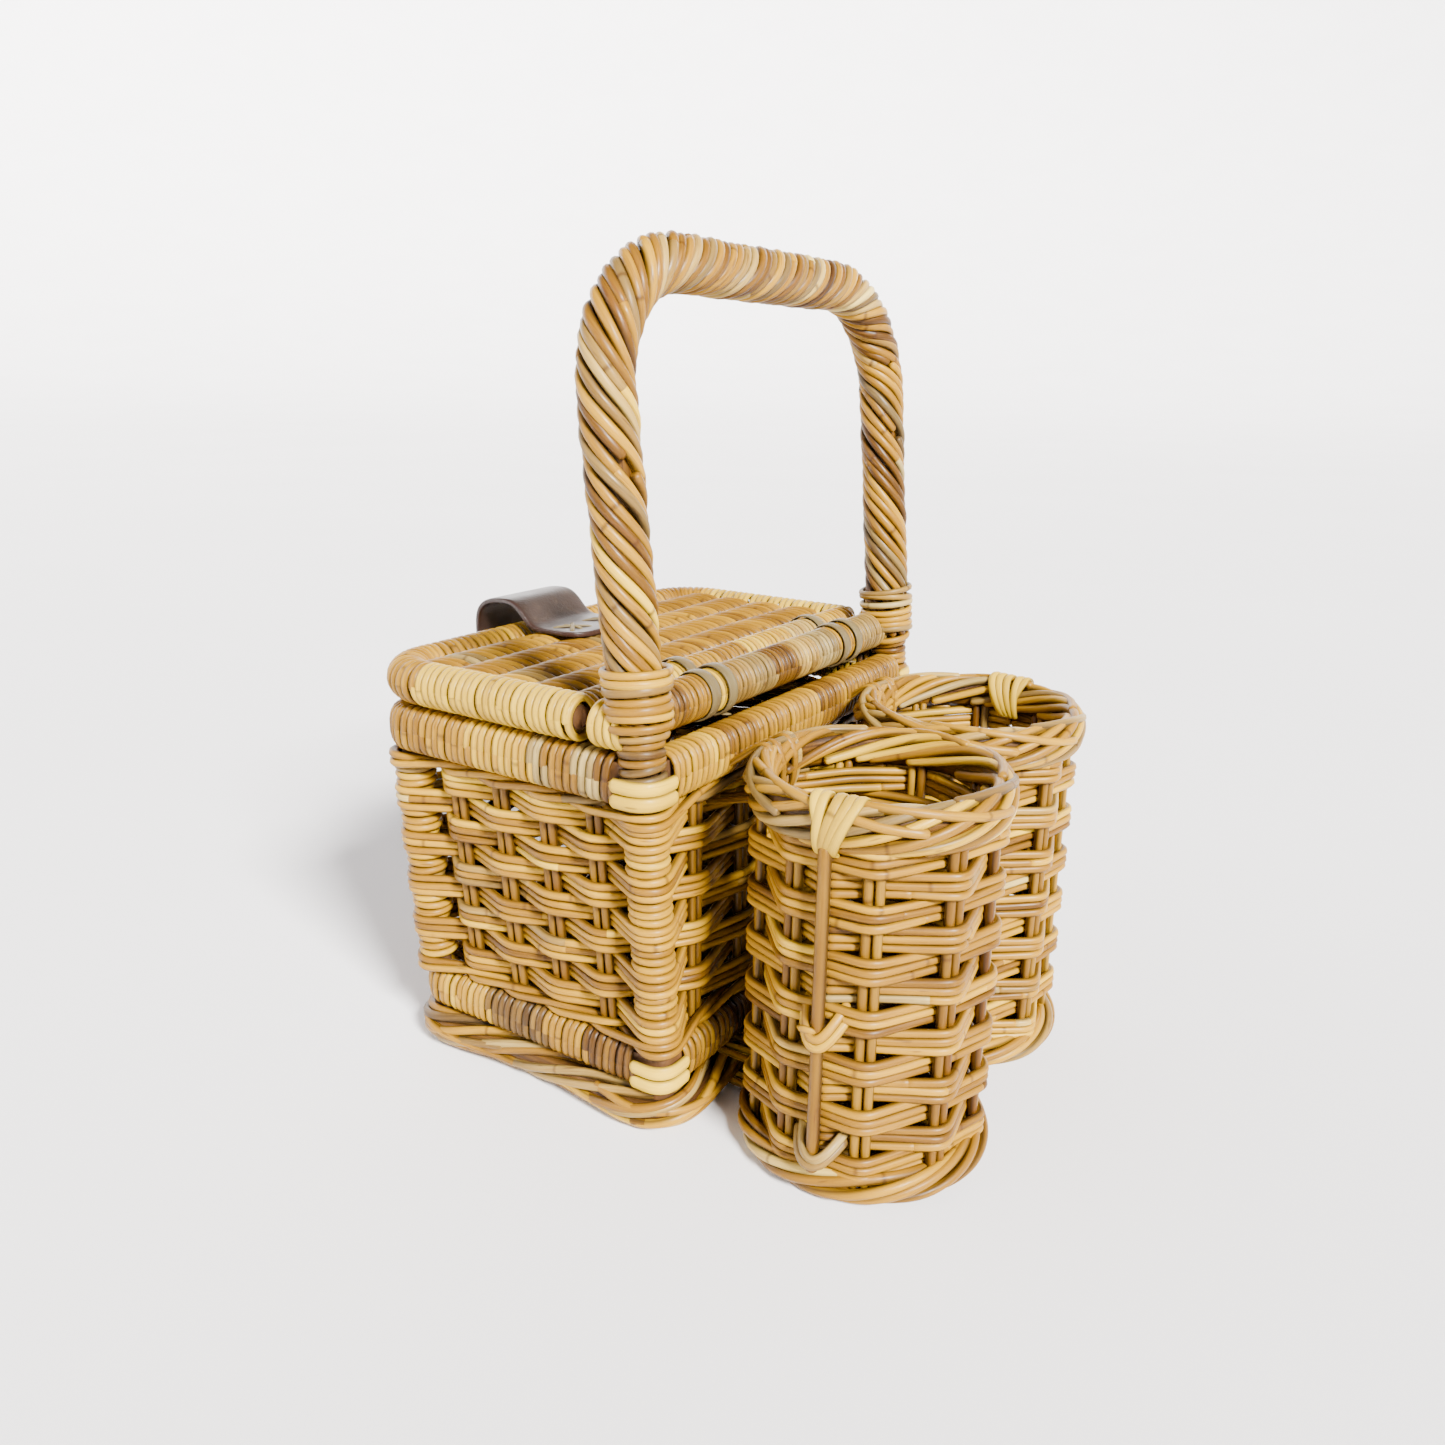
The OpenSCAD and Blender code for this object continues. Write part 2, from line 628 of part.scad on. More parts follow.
// Unit normal of the line at point i
function line_dir(i) = let (d = arch_line[min(i + 1, last)] - arch_line[max(i - 1, 0)]) d / norm(d);
function side_of(i, w) = arch_line[i] + w * [line_dir(i)[1], -line_dir(i)[0]];
module strap_anchor() color([0.27, 0.2, 0.18]) {
    outline = concat([for (i = [0 : last]) side_of(i, strap_t / 2)],
        [for (i = [last : -1 : 0]) side_of(i, -strap_t / 2)]);
    translate([strap_x - strap_w / 2, 0, 0]) rotate([90, 0, 90])
        linear_extrude(strap_w) polygon(outline);
}
// Crossed cane stitches that hold the strap to the weave
module strap_stitch() color("tan")
    for (dx = [-13, 13], turn = [-40, 40])
        translate([strap_x + dx, arch_start[0] + 14, lid_top + 0.1 + strap_t]) rotate([0, 0, turn])
            translate([-stitch_len / 2, -stitch_w / 2, 0]) cube([stitch_len, stitch_w, stitch_w / 2]);
module strap_tail() color([0.27, 0.2, 0.18]) {
    translate([strap_x - strap_w / 2, hinge_line_y, hinge_line_z]) rotate([0, 90, 0])
        cylinder(h = strap_w, r = strap_t / 2);
    translate([strap_x, hinge_line_y + strap_t / 2, hinge_line_z - strap_drop / 2]) rotate([90, 0, 0])
        linear_extrude(strap_t) difference() {
            union() {
                translate([0, strap_drop / 4]) square([strap_w, strap_drop / 2], center = true);
                round_rect(strap_w / 2, strap_drop / 2, 18);
            }
            translate([0, toggle_z - hinge_line_z + strap_drop / 2])
                round_rect(slot_w / 2, slot_h / 2, slot_w / 2 - eps);
        }
}

floor_weave();
foot_border();
base_rail_core();
base_rail_front();
base_rail_back();
base_rail_left();
base_rail_right();
lower_waling();
upper_waling();
wall_front();
wall_back();
wall_left();
wall_right();
wall_stakes();
corner_posts();
corner_wrap_front_left();
corner_wrap_front_right();
corner_wrap_back_left();
corner_wrap_back_right();
rim_core();
rim_front();
rim_back();
rim_left();
rim_right();
rim_corner_bands();
handle_core();
handle_leg_rods();
handle_bend_rods();
handle_bar_rods();
leg_bindings();
hinge_rail_core();
hinge_rail_wrap();
rail_stubs();
hinge_loops();
toggle_lashing();
holder_left_wall();
holder_left_stakes();
holder_left_rim();
holder_left_foot();
holder_left_floor();
holder_left_seam();
holder_left_ties();
holder_right_wall();
holder_right_stakes();
holder_right_rim();
holder_right_foot();
holder_right_floor();
holder_right_seam();
holder_right_ties();
lid_core();
lid_wrap_front();
lid_wrap_back();
lid_wrap_left();
lid_wrap_right();
lid_weave();
lid_stakes();
strap_anchor();
strap_stitch();
strap_tail();
toggle();
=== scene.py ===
"""Wicker picnic basket: every rattan strand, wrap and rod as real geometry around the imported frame."""
import bpy
import json
import math
import numpy as np
from mathutils import Matrix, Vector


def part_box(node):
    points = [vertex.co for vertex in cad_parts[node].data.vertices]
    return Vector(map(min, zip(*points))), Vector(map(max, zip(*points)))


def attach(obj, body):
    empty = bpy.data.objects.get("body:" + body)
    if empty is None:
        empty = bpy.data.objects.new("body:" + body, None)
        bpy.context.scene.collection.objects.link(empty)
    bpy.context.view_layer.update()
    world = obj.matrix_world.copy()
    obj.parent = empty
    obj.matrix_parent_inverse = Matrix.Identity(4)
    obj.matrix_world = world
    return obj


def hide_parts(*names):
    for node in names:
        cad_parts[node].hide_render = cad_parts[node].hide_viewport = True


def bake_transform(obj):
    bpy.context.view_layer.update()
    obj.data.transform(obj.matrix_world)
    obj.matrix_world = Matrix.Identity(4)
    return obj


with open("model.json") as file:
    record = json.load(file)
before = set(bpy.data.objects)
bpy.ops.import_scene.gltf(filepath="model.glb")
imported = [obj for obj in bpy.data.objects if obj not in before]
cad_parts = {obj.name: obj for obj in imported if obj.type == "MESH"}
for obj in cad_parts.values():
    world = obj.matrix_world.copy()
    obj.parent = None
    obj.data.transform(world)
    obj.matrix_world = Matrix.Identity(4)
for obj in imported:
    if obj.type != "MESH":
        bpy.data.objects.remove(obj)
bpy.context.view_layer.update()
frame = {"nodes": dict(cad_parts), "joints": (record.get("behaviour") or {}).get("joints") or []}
MM = 0.001
TAU = 2 * math.pi
UP = np.array([0, 0, 1.0])


# ---- places, from the frame -------------------------------------------------

def box(name):
    lo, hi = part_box(name)
    return np.array(lo), np.array(hi)


def middle(name):
    return sum(box(name)) / 2


def joint_place(name):
    return np.array(next(j for j in frame["joints"] if j["name"] == name)["pos_m"])


RIM_LO, RIM_HI = box("rim_corner_bands")
RAIL_LO, RAIL_HI = box("base_rail_front")
FOOT_HI = box("foot_border")[1]
POST_INSET = 13.5 * MM            # rim's outer face to the posts' axes
FOOT_REACH = 10 * MM              # foot border's reach past the posts' axes
RAIL_REACH = 11.5 * MM            # base rail's reach past the posts' axes
POST_TOP = 200 * MM               # where the handle starts to lean
RIM_MID = middle("rim_corner_bands")[2]
RAIL_MID = middle("base_rail_front")[2]
FOOT_MID = middle("foot_border")[2]
FRONT_Y = RIM_LO[1] + POST_INSET
BACK_Y = RIM_HI[1] - POST_INSET
MID_Y = (FRONT_Y + BACK_Y) / 2
END_SLOPE = ((RIM_HI[0] - POST_INSET) - (FOOT_HI[0] - FOOT_REACH)) / (RIM_MID - FOOT_MID)
STRAP_HINGE = joint_place("strap_swing")
TOGGLE = joint_place("toggle_turn")
HINGE_Y, LID_Z = joint_place("lid_hinge")[1:]
LID_R = 11.9 * MM                 # the wound lid frame's outer radius
LID_SIDE_X = box("lid_wrap_right")[1][0] - LID_R
LID_FRONT_Y = box("lid_wrap_front")[0][1] + LID_R
LID_CORNER = 26 * MM              # bend radius of the lid's front corners
RAIL_Y, RAIL_Z = middle("hinge_rail_core")[1:]


def end_x(z):
    """Half length of the basket's stake plane at height z."""
    return RIM_HI[0] - POST_INSET - (RIM_MID - z) * END_SLOPE


# ---- colours and materials --------------------------------------------------

def linear(r, g, b):
    """Linear RGBA of an sRGB colour given in 0 to 255."""
    def channel(c):
        c = c / 255
        return c / 12.92 if c <= 0.04045 else ((c + 0.055) / 1.055) ** 2.4
    return (channel(r), channel(g), channel(b), 1.0)


class Graph:
    """A small helper that adds nodes to a material and links them."""

    def __init__(self, name):
        self.mat = bpy.data.materials.new(name)
        self.mat.use_nodes = True
        self.tree = self.mat.node_tree
        self.tree.nodes.clear()
        self.out = self.add("ShaderNodeOutputMaterial")

    def add(self, kind, inputs=None, **props):
        n = self.tree.nodes.new(kind)
        for k, v in props.items():
            setattr(n, k, v)
        for k, v in (inputs or {}).items():
            self.put(n, k, v)
        return n

    def put(self, n, key, value):
        """Sets an input to a number or colour, or links a socket to it."""
        if isinstance(value, bpy.types.NodeSocket):
            self.tree.links.new(value, n.inputs[key])
        else:
            n.inputs[key].default_value = value

    def attribute(self, name, output="Fac"):
        return self.add("ShaderNodeAttribute", attribute_name=name).outputs[output]

    def place(self):
        return self.add("ShaderNodeTexCoord").outputs["Object"]

    def bump(self, strength, distance, height):
        n = self.add("ShaderNodeBump", {"Strength": strength, "Distance": distance, "Height": height})
        return n.outputs[0]

    def math(self, op, a, b=0.0, c=0.0, clamp=False):
        return self.add("ShaderNodeMath", {0: a, 1: b, 2: c}, operation=op, use_clamp=clamp).outputs[0]

    def noise(self, vector, scale, detail=2.0, roughness=0.5, stretch=None):
        if stretch:
            stretched = self.add("ShaderNodeVectorMath", {0: vector, 1: stretch}, operation="MULTIPLY")
            vector = stretched.outputs[0]
        n = self.add("ShaderNodeTexNoise", {"Vector": vector, "Scale": scale, "Detail": detail,
                                            "Roughness": roughness})
        return n.outputs["Fac"]

    def band(self, value, lo, hi, to_lo=0.0, to_hi=1.0):
        """Smoothly from to_lo where the value is lo to to_hi where it is hi."""
        limits = {"Value": value, "From Min": lo, "From Max": hi, "To Min": to_lo, "To Max": to_hi}
        return self.add("ShaderNodeMapRange", limits, interpolation_type="SMOOTHSTEP").outputs[0]

    def ramp(self, value, stops):
        n = self.add("ShaderNodeValToRGB", {"Fac": value})
        while len(n.color_ramp.elements) < len(stops):
            n.color_ramp.elements.new(0.5)
        for e, (at, colour) in zip(n.color_ramp.elements, stops):
            e.position = at
            e.color = colour
        return n.outputs[0]

    def mix(self, fac, a, b):
        return self.add("ShaderNodeMix", {0: fac, 6: a, 7: b}, data_type="RGBA").outputs[2]

    def finish(self, **inputs):
        shader = self.add("ShaderNodeBsdfPrincipled", {k.replace("_", " "): v for k, v in inputs.items()})
        self.tree.links.new(shader.outputs[0], self.out.inputs[0])
        return self.mat


def rattan(name, stops, gloss=0.4, coat=0.04, streak=0.45, knot=0.6):
    """Varnished rattan. The strands carry 'fibre', the place along and across the strand, 'tone', 'grey' and
    'shade'. streak and knot say how strong the dark lines and the knuckles are."""
    g = Graph(name)
    fibre = g.attribute("fibre", "Vector")
    along = g.add("ShaderNodeSeparateXYZ", {0: fibre}).outputs[0]
    patches = g.noise(fibre, 1.0, 2.0, stretch=(16, 70, 70))
    lines = g.noise(fibre, 1.0, 3.0, 0.6, stretch=(28, 900, 900))
    fine = g.noise(fibre, 1.0, 2.0, 0.6, stretch=(150, 2600, 2600))
    shift = g.math("MULTIPLY_ADD", patches, 0.6, -0.3)
    shift = g.math("MULTIPLY_ADD", lines, 0.5, g.math("ADD", shift, -0.25))
    value = g.math("ADD", g.attribute("tone"), shift, clamp=True)
    colour = g.ramp(value, stops)
    weathered = g.ramp(value, [(0.15, linear(66, 54, 32)), (0.55, linear(120, 102, 58)),
                               (0.95, linear(200, 182, 120))])
    drab = g.mix(g.math("MULTIPLY", g.attribute("grey"), 0.85), colour, weathered)
    dark_lines = g.math("MULTIPLY", g.band(lines, 0.54, 0.74), streak)
    colour = g.mix(dark_lines, drab, linear(92, 52, 18))
    # Knuckles: a thin dark ring about every hundred and fifty millimetres of strand
    ring = g.math("FRACT", g.math("MULTIPLY", along, 6.7))
    ring = g.math("ABSOLUTE", g.math("SUBTRACT", ring, 0.5))
    ring = g.band(ring, 0.012, 0.0)
    spots = g.band(g.noise(fibre, 1.0, 1.0, stretch=(70, 420, 420)), 0.69, 0.78)
    marks = g.math("MAXIMUM", g.math("MULTIPLY", ring, knot), g.math("MULTIPLY", spots, 0.5))
    colour = g.mix(marks, colour, linear(60, 32, 12))
    # Painted shade: where the 'shade' attribute is low, the colour is mixed towards near black, in the
    # creases between strands and inside the basket
    colour = g.mix(g.math("SUBTRACT", 1.0, g.attribute("shade")), colour, linear(16, 9, 4))
    rough = g.band(fine, 0.3, 0.75, gloss - 0.06, gloss + 0.16)
    height = g.math("ADD", g.math("MULTIPLY", fine, 0.35), g.math("MULTIPLY", lines, 0.8))
    height = g.math("ADD", height, g.math("MULTIPLY", ring, 0.8))
    return g.finish(Base_Color=colour, Roughness=rough, Normal=g.bump(0.35, 0.0004, height),
                    Specular_IOR_Level=0.18, Coat_Weight=coat, Coat_Roughness=0.22)


HONEY = [(0.0, linear(50, 28, 7)), (0.25, linear(98, 64, 10)), (0.5, linear(136, 95, 11)),
         (0.75, linear(170, 125, 16)), (1.0, linear(208, 168, 36))]
STRAW = [(0.0, linear(100, 71, 15)), (0.3, linear(154, 118, 20)), (0.65, linear(194, 155, 27)),
         (1.0, linear(226, 186, 42))]
BROWN = [(0.0, linear(42, 20, 4)), (0.35, linear(84, 49, 6)), (0.7, linear(118, 82, 9)),
         (1.0, linear(154, 114, 16))]
GREY = [(0.0, linear(48, 38, 22)), (0.5, linear(88, 74, 44)), (1.0, linear(124, 108, 66))]


def leather_material():
    """Dark worn leather, browner along its cut edges."""
    g = Graph("leather")
    place = g.place()
    cells = g.add("ShaderNodeTexVoronoi", {"Vector": place, "Scale": 900.0}, feature="SMOOTH_F1")
    grain = cells.outputs["Distance"]
    cloud = g.noise(place, 45.0, 4.0, 0.6)
    worn = g.band(g.noise(place, 130.0, 5.0, 0.65), 0.5, 0.8)
    base = g.ramp(cloud, [(0.25, linear(27, 19, 14)), (0.75, linear(48, 34, 26))])
    base = g.mix(g.math("MULTIPLY", worn, 0.34), base, linear(84, 68, 54))
    base = g.mix(g.attribute("edge"), base, linear(40, 20, 12))
    rough = g.band(cloud, 0.2, 0.8, 0.34, 0.5)
    height = g.math("ADD", g.math("MULTIPLY", grain, 0.7), g.math("MULTIPLY", cloud, 0.6))
    return g.finish(Base_Color=base, Roughness=rough, Normal=g.bump(0.4, 0.0005, height))


def cad_rod_material():
    """For the plain rods that come straight from the frame: their grain runs in object space. Their dark
    brown is painted shade for where they show through gaps in the weave.
    """
    g = Graph("core_rod")
    grain = g.noise(g.place(), 60.0, 4.0, 0.6)
    fine = g.noise(g.place(), 500.0, 3.0, 0.6)
    colour = g.ramp(grain, [(0.2, linear(40, 24, 10)), (0.6, linear(86, 54, 20)), (0.9, linear(128, 86, 34))])
    rough = g.band(fine, 0.2, 0.8, 0.5, 0.7)
    return g.finish(Base_Color=colour, Roughness=rough, Normal=g.bump(0.4, 0.0005, fine))


MATERIALS = {
    "honey": rattan("rattan_honey", HONEY),
    "straw": rattan("rattan_straw", STRAW, gloss=0.45, coat=0.05, streak=0.3),
    "brown": rattan("rattan_brown", BROWN, gloss=0.36),
    "grey": rattan("cane_grey", GREY, gloss=0.5, coat=0.05, streak=0.5, knot=0.2),
    "handle": rattan("rattan_handle", HONEY, gloss=0.38, coat=0.06, streak=0.75, knot=0.7),
    "leather": leather_material(),
    "core": cad_rod_material(),
}


# ---- strands ----------------------------------------------------------------

def unit(v):
    return v / np.maximum(np.linalg.norm(v, axis=-1, keepdims=True), 1e-12)


def step_up(x, lo, hi):
    """Rises smoothly from 0 at lo to 1 at hi."""
    t = np.clip((x - lo) / (hi - lo), 0, 1)
    return t * t * (3 - 2 * t)


def circle(count):
    """Evenly spaced angles once round."""
    return np.linspace(0, TAU, count + 1)[:-1]


def directions(angle, first, second):
    """The directions at these angles, counted from first towards second."""
    return np.cos(angle)[:, None] * first + np.sin(angle)[:, None] * second


def path_lengths(path):
    """The distance along a path to each of its points."""
    return np.concatenate([[0], np.cumsum(np.linalg.norm(np.diff(path, axis=0), axis=1))])


def values_at(where, lengths, values):
    """The rows of values, known at some lengths along a path, at other places along it."""
    return np.stack([np.interp(where, lengths, column) for column in values.T], 1)


def smooth(points, passes, closed):
    """Rounds a polyline's corners by averaging each point with its neighbours."""
    p = points.copy()
    for _ in range(passes):
        if closed:
            p = 0.5 * p + 0.25 * (np.roll(p, 1, 0) + np.roll(p, -1, 0))
        else:
            p[1:-1] = 0.5 * p[1:-1] + 0.25 * (p[:-2] + p[2:])
    return p


def resample(points, step, closed):
    """The same polyline with evenly spaced points."""
    p = np.vstack([points, points[:1]]) if closed else points
    lengths = path_lengths(p)
    n = max(int(round(lengths[-1] / step)), 4)
    even = values_at(np.linspace(0, lengths[-1], n + 1), lengths, p)
    return even[:-1] if closed else even


CREASE = 0.78                     # how dark the painted shade gets along a strand's sides, where it touches its neighbours


class Strands:
    """Collects strands and makes one mesh of them. touch says on which faces its strands lie against each
    other and get painted shade: the ones across, or the upper and lower ones."""

    def __init__(self, seed):
        self.rng = np.random.default_rng(seed)
        self.verts, self.quads, self.caps = [], [], []
        self.fibre, self.tone, self.grey, self.shade = [], [], [], []
        self.shade_at = None
        self.touch = "across"
        self.crease = CREASE
        self.count = 0

    def pick(self, mean=0.55, spread=0.14, grey_share=0.1):
        """Draws a strand's tone and greyness."""
        tone = float(np.clip(self.rng.normal(mean, spread), 0.05, 0.98))
        grey = float(self.rng.uniform(0.35, 0.9)) if self.rng.random() < grey_share else 0.0
        return tone, grey

    def add(self, pts, r, up, look, flat=1.0, sides=8, closed=False):
        """One strand along pts: r is its half width across, flat its thickness over its width, up the
        direction of its thickness, and look its (tone, grey)."""
        pts = np.asarray(pts, float)
        n = len(pts)
        if closed:
            tangent = np.roll(pts, -1, 0) - np.roll(pts, 1, 0)
        else:
            tangent = np.gradient(pts, axis=0)
        tangent = unit(tangent)
        up = np.broadcast_to(np.asarray(up, float), pts.shape)
        normal = unit(up - (up * tangent).sum(1, keepdims=True) * tangent)
        across = np.cross(tangent, normal)
        r = np.broadcast_to(np.asarray(r, float), (n,))
        s = path_lengths(pts)
        if not closed:
            # Rounded ends: one small ring past each end
            pts = np.vstack([pts[:1] - tangent[:1] * r[0] * 0.45, pts,
                             pts[-1:] + tangent[-1:] * r[-1] * 0.45])
            normal = np.vstack([normal[:1], normal, normal[-1:]])
            across = np.vstack([across[:1], across, across[-1:]])
            r = np.concatenate([[r[0] * 0.62], r, [r[-1] * 0.62]])
            s = np.concatenate([[-r[0]], s, [s[-1] + r[-1]]])
            n += 2
        angle = TAU * np.arange(sides) / sides
        c, d = np.cos(angle), np.sin(angle)
        ring = (pts[:, None, :] + (r * flat)[:, None, None] * c[None, :, None] * normal[:, None, :]
                + r[:, None, None] * d[None, :, None] * across[:, None, :])
        start = self.rng.uniform(0, 40, 2)
        fibre = np.empty((n, sides, 3))
        fibre[:, :, 0] = (s + start[0])[:, None]
        fibre[:, :, 1] = r[:, None] * c[None, :] + start[1]
        fibre[:, :, 2] = r[:, None] * d[None, :]
        i = np.arange(n if closed else n - 1)[:, None]
        j = np.arange(sides)[None, :]
        here, ahead = self.count + i * sides, self.count + (i + 1) % n * sides
        beside = (j + 1) % sides
        quads = np.stack([here + j, here + beside, ahead + beside, ahead + j], -1)
        ring = ring.reshape(-1, 3)
        self.verts.append(ring)
        # Painted shade: strands that lie side by side are darkened where they touch, on top of the shade that
        # shade_at paints
        crease = step_up(np.abs(c if self.touch == "up" else d), 0.6, 1.02)
        shade = self.shade_at(ring) if self.shade_at else np.ones(len(ring))
        self.shade.append(shade * (1 - self.crease * np.tile(crease, n)))
        self.quads.append(quads.reshape(-1, 4))
        if not closed:
            first = self.count + np.arange(sides)
            self.caps.append(first[::-1])
            self.caps.append(first + (n - 1) * sides)
        self.fibre.append(fibre.reshape(-1, 3))
        self.tone.append(np.full(n * sides, look[0]))
        self.grey.append(np.full(n * sides, look[1]))
        self.count += n * sides

    def build(self, name, body, material, replaced=()):
        """Makes one object of all the strands, gives it its material and hooks it to its body."""
        verts = np.vstack(self.verts)
        quads = np.vstack(self.quads)
        loops = [quads.ravel()]
        starts = [np.arange(len(quads)) * 4]
        at = len(quads) * 4
        for cap in self.caps:
            loops.append(cap)
            starts.append(np.array([at]))
            at += len(cap)
        loops = np.concatenate(loops).astype(np.int32)
        starts = np.concatenate(starts).astype(np.int32)
        mesh = bpy.data.meshes.new(name)
        mesh.vertices.add(len(verts))
        mesh.vertices.foreach_set("co", verts.astype(np.float32).ravel())
        mesh.loops.add(len(loops))
        mesh.loops.foreach_set("vertex_index", loops)
        mesh.polygons.add(len(starts))
        mesh.polygons.foreach_set("loop_start", starts)
        mesh.update(calc_edges=True)
        mesh.polygons.foreach_set("use_smooth", np.ones(len(starts), bool))
        for key, kind, data in (("fibre", "FLOAT_VECTOR", self.fibre), ("tone", "FLOAT", self.tone),
                                ("grey", "FLOAT", self.grey), ("shade", "FLOAT", self.shade)):
            layer = mesh.attributes.new(key, kind, "POINT")
            flat = np.concatenate(data).astype(np.float32).ravel()
            layer.data.foreach_set("vector" if kind == "FLOAT_VECTOR" else "value", flat)
        obj = bpy.data.objects.new(name, mesh)
        bpy.context.scene.collection.objects.link(obj)
        mesh.materials.append(MATERIALS[material])
        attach(obj, body)
        if replaced:
            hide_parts(*replaced)


# ---- wrapping: turns of cane round a straight or bent core -------------------

def wrap(strands, path, side, profile, width, thick, run=(4, 11), mean=0.6, spread=0.12, grey=0.08,
         slant=0.0, tight=0.96, segments=22, reach=0.0):
    """Winds cane round a path. side gives the outward direction at each path point, and profile(angle)
    the offsets (outward, up) of the wound surface. width is the cane's half width. run says how many
    turns share a tone. slant skews the turns from the outer side to the inner one, in half widths. The
    turns are spaced evenly along the path moved outwards by reach, so they lie close together on the
    outside of a corner."""
    s, tangent = path_lengths(path + reach * side), unit(np.gradient(path, axis=0))
    length = s[-1]
    pitch = 2 * width * tight
    turns = max(int(length / pitch), 1)
    pitch = length / turns
    rng = strands.rng

    turn = 0
    up_dir = unit(np.cross(tangent, side))
    up_dir = up_dir * np.sign(up_dir[:, 2:3] + 1e-9)
    while turn < turns:
        count = min(int(rng.integers(run[0], run[1] + 1)), turns - turn)
        angle = np.linspace(0, TAU * count, segments * count + 1)
        jitter = 0.1 * np.sin(angle * 0.37 + rng.uniform(0, 6))
        jitter += 0.06 * np.sin(angle * 0.83 + rng.uniform(0, 6))
        where = (turn + angle / TAU) * pitch + jitter * pitch + slant * width * np.cos(angle)
        where = np.clip(where, 0, length)
        out, rise = profile(angle)
        outward = unit(values_at(where, s, side))
        upward = unit(values_at(where, s, up_dir))
        pts = values_at(where, s, path) + out[:, None] * outward + rise[:, None] * upward
        out2, rise2 = profile(angle + 0.05)
        out1, rise1 = profile(angle - 0.05)
        normal = unit((rise2 - rise1)[:, None] * outward - (out2 - out1)[:, None] * upward)
        look = strands.pick(mean, spread, grey)
        for k in range(count):
            # Each turn varies a little in tone, as neighbouring lengths of cane do
            part = slice(k * segments, (k + 1) * segments + 1)
            tone = float(np.clip(look[0] + rng.normal(0, 0.05), 0.03, 0.98))
            strands.add(pts[part], width, normal[part], (tone, look[1]), flat=thick / width, sides=6)
        turn += count


def rounded_box(half_out, half_up, power=3.4, shift=0.0):
    """Profile of a wrapped flat rail."""
    def profile(angle):
        c, d = np.cos(angle), np.sin(angle)
        k = (np.abs(c) ** power + np.abs(d) ** power) ** (-1 / power)
        return half_out * c * k + shift, half_up * d * k
    return profile


def round_profile(r):
    """Profile of a wrapped round rod."""
    def profile(angle):
        return r * np.cos(angle), r * np.sin(angle)
    return profile


def line(a, b, step=4 * MM):
    """Evenly spaced points from a to b."""
    a, b = np.array(a, float), np.array(b, float)
    n = max(int(np.linalg.norm(b - a) / step), 2)
    return a + (b - a) * np.linspace(0, 1, n + 1)[:, None]


# ---- the four sides -----------------------------------------------------------

LONG_STAKES = np.arange(-2, 3) * 44 * MM          # the stakes' places along a long side, from its middle
END_STAKES = (np.arange(4) - 1.5) * 31.1 * MM     # and along an end
STAKE_R = 2.3 * MM
STRAND_R = 2.35 * MM
STRAND_PITCH = 4.35 * MM
CROSS_OFFSET = STAKE_R + STRAND_R + 0.1 * MM      # a strand's axis from the stakes' plane
CROSS_HALF = 2.6 * MM                             # half the flat run of a strand over a stake
CORNER_OUT = 10.8 * MM                            # how far strands pass outside a corner post
CORNER_IN = 9.5 * MM                              # and inside it
ROWS = 60.5 * MM + 13.1 * MM * np.arange(9)       # heights of the rows of weave


def wall_shade(pts):
    """Painted shade: strands darken towards the inside of the basket."""
    dx = np.abs(pts[:, 0]) - end_x(pts[:, 2])
    dy = np.maximum(pts[:, 1] - BACK_Y, FRONT_Y - pts[:, 1])
    return 0.22 + 0.78 * step_up(np.maximum(dx, dy), -8.0 * MM, -3.2 * MM)


def sides_at(z):
    """The four sides, each as start post, end post, outward normal and stake places along it."""
    x = end_x(z)
    y0, y1 = FRONT_Y, BACK_Y
    half = (y1 - y0) / 2
    return [((-x, y0), (x, y0), (0, -1), LONG_STAKES + x),
            ((x, y0), (x, y1), (1, 0), END_STAKES + half),
            ((x, y1), (-x, y1), (0, 1), LONG_STAKES + x),
            ((-x, y1), (-x, y0), (-1, 0), END_STAKES + half)]


def woven_loop(z, offset_of, rise_of=None, circuits=1, corner_out=CORNER_OUT, flat=CROSS_HALF):
    """A closed strand round the basket at height z, straight between the stakes it bears on.
    offset_of(i) is 1 or -1 at crossing i, outside or inside, and rise_of(i) its height above z there."""
    points = []
    index = 0
    for a, b, normal, stakes in sides_at(z) * circuits:
        a, b, normal = np.array(a), np.array(b), np.array(normal, float)
        along = (b - a) / np.linalg.norm(b - a)
        for place in stakes:
            index += 1
            off = CROSS_OFFSET * offset_of(index)
            rise = rise_of(index) if rise_of else 0.0
            for d in (-flat, flat):
                plan = a + (place + d) * along + off * normal
                points.append((*plan, z + rise))
        index += 1
        rise = rise_of(index) if rise_of else 0.0
        if offset_of(index) > 0:
            for turn in np.linspace(0, np.pi / 2, 9):
                plan = b + corner_out * (math.cos(turn) * normal + math.sin(turn) * along)
                points.append((*plan, z + rise))
        else:
            for d in (-3 * MM, 3 * MM):
                plan = b - CORNER_IN * (normal + along) + (d * along if d < 0 else -d * normal)
                points.append((*plan, z + rise))
    loop = resample(np.array(points), 2.3 * MM, True)
    return smooth(loop, 5, True)


def bundle_offsets():
    """The heights of the three strands of a row."""
    return (np.arange(3) - 1.0) * STRAND_PITCH


def make_sides():
    """Rows of three-strand bundles over and under paired stakes, closed round the corner posts."""
    s = Strands(11)
    s.touch = "up"
    s.shade_at = wall_shade
    for k, z in enumerate(ROWS):
        for dz in bundle_offsets():
            loop = woven_loop(z + dz, lambda i: 1 if (i + k + 1) % 2 == 0 else -1)
            waves = np.linspace(0, TAU * s.rng.integers(5, 11), len(loop))
            loop[:, 2] += 0.35 * MM * np.sin(waves + s.rng.uniform(0, 6))
            add_lengths(s, loop, mean=0.56, spread=0.17, grey=0.16)
    s.build("side_weave", "basket", "honey",
            ("wall_front", "wall_back", "wall_left", "wall_right"))


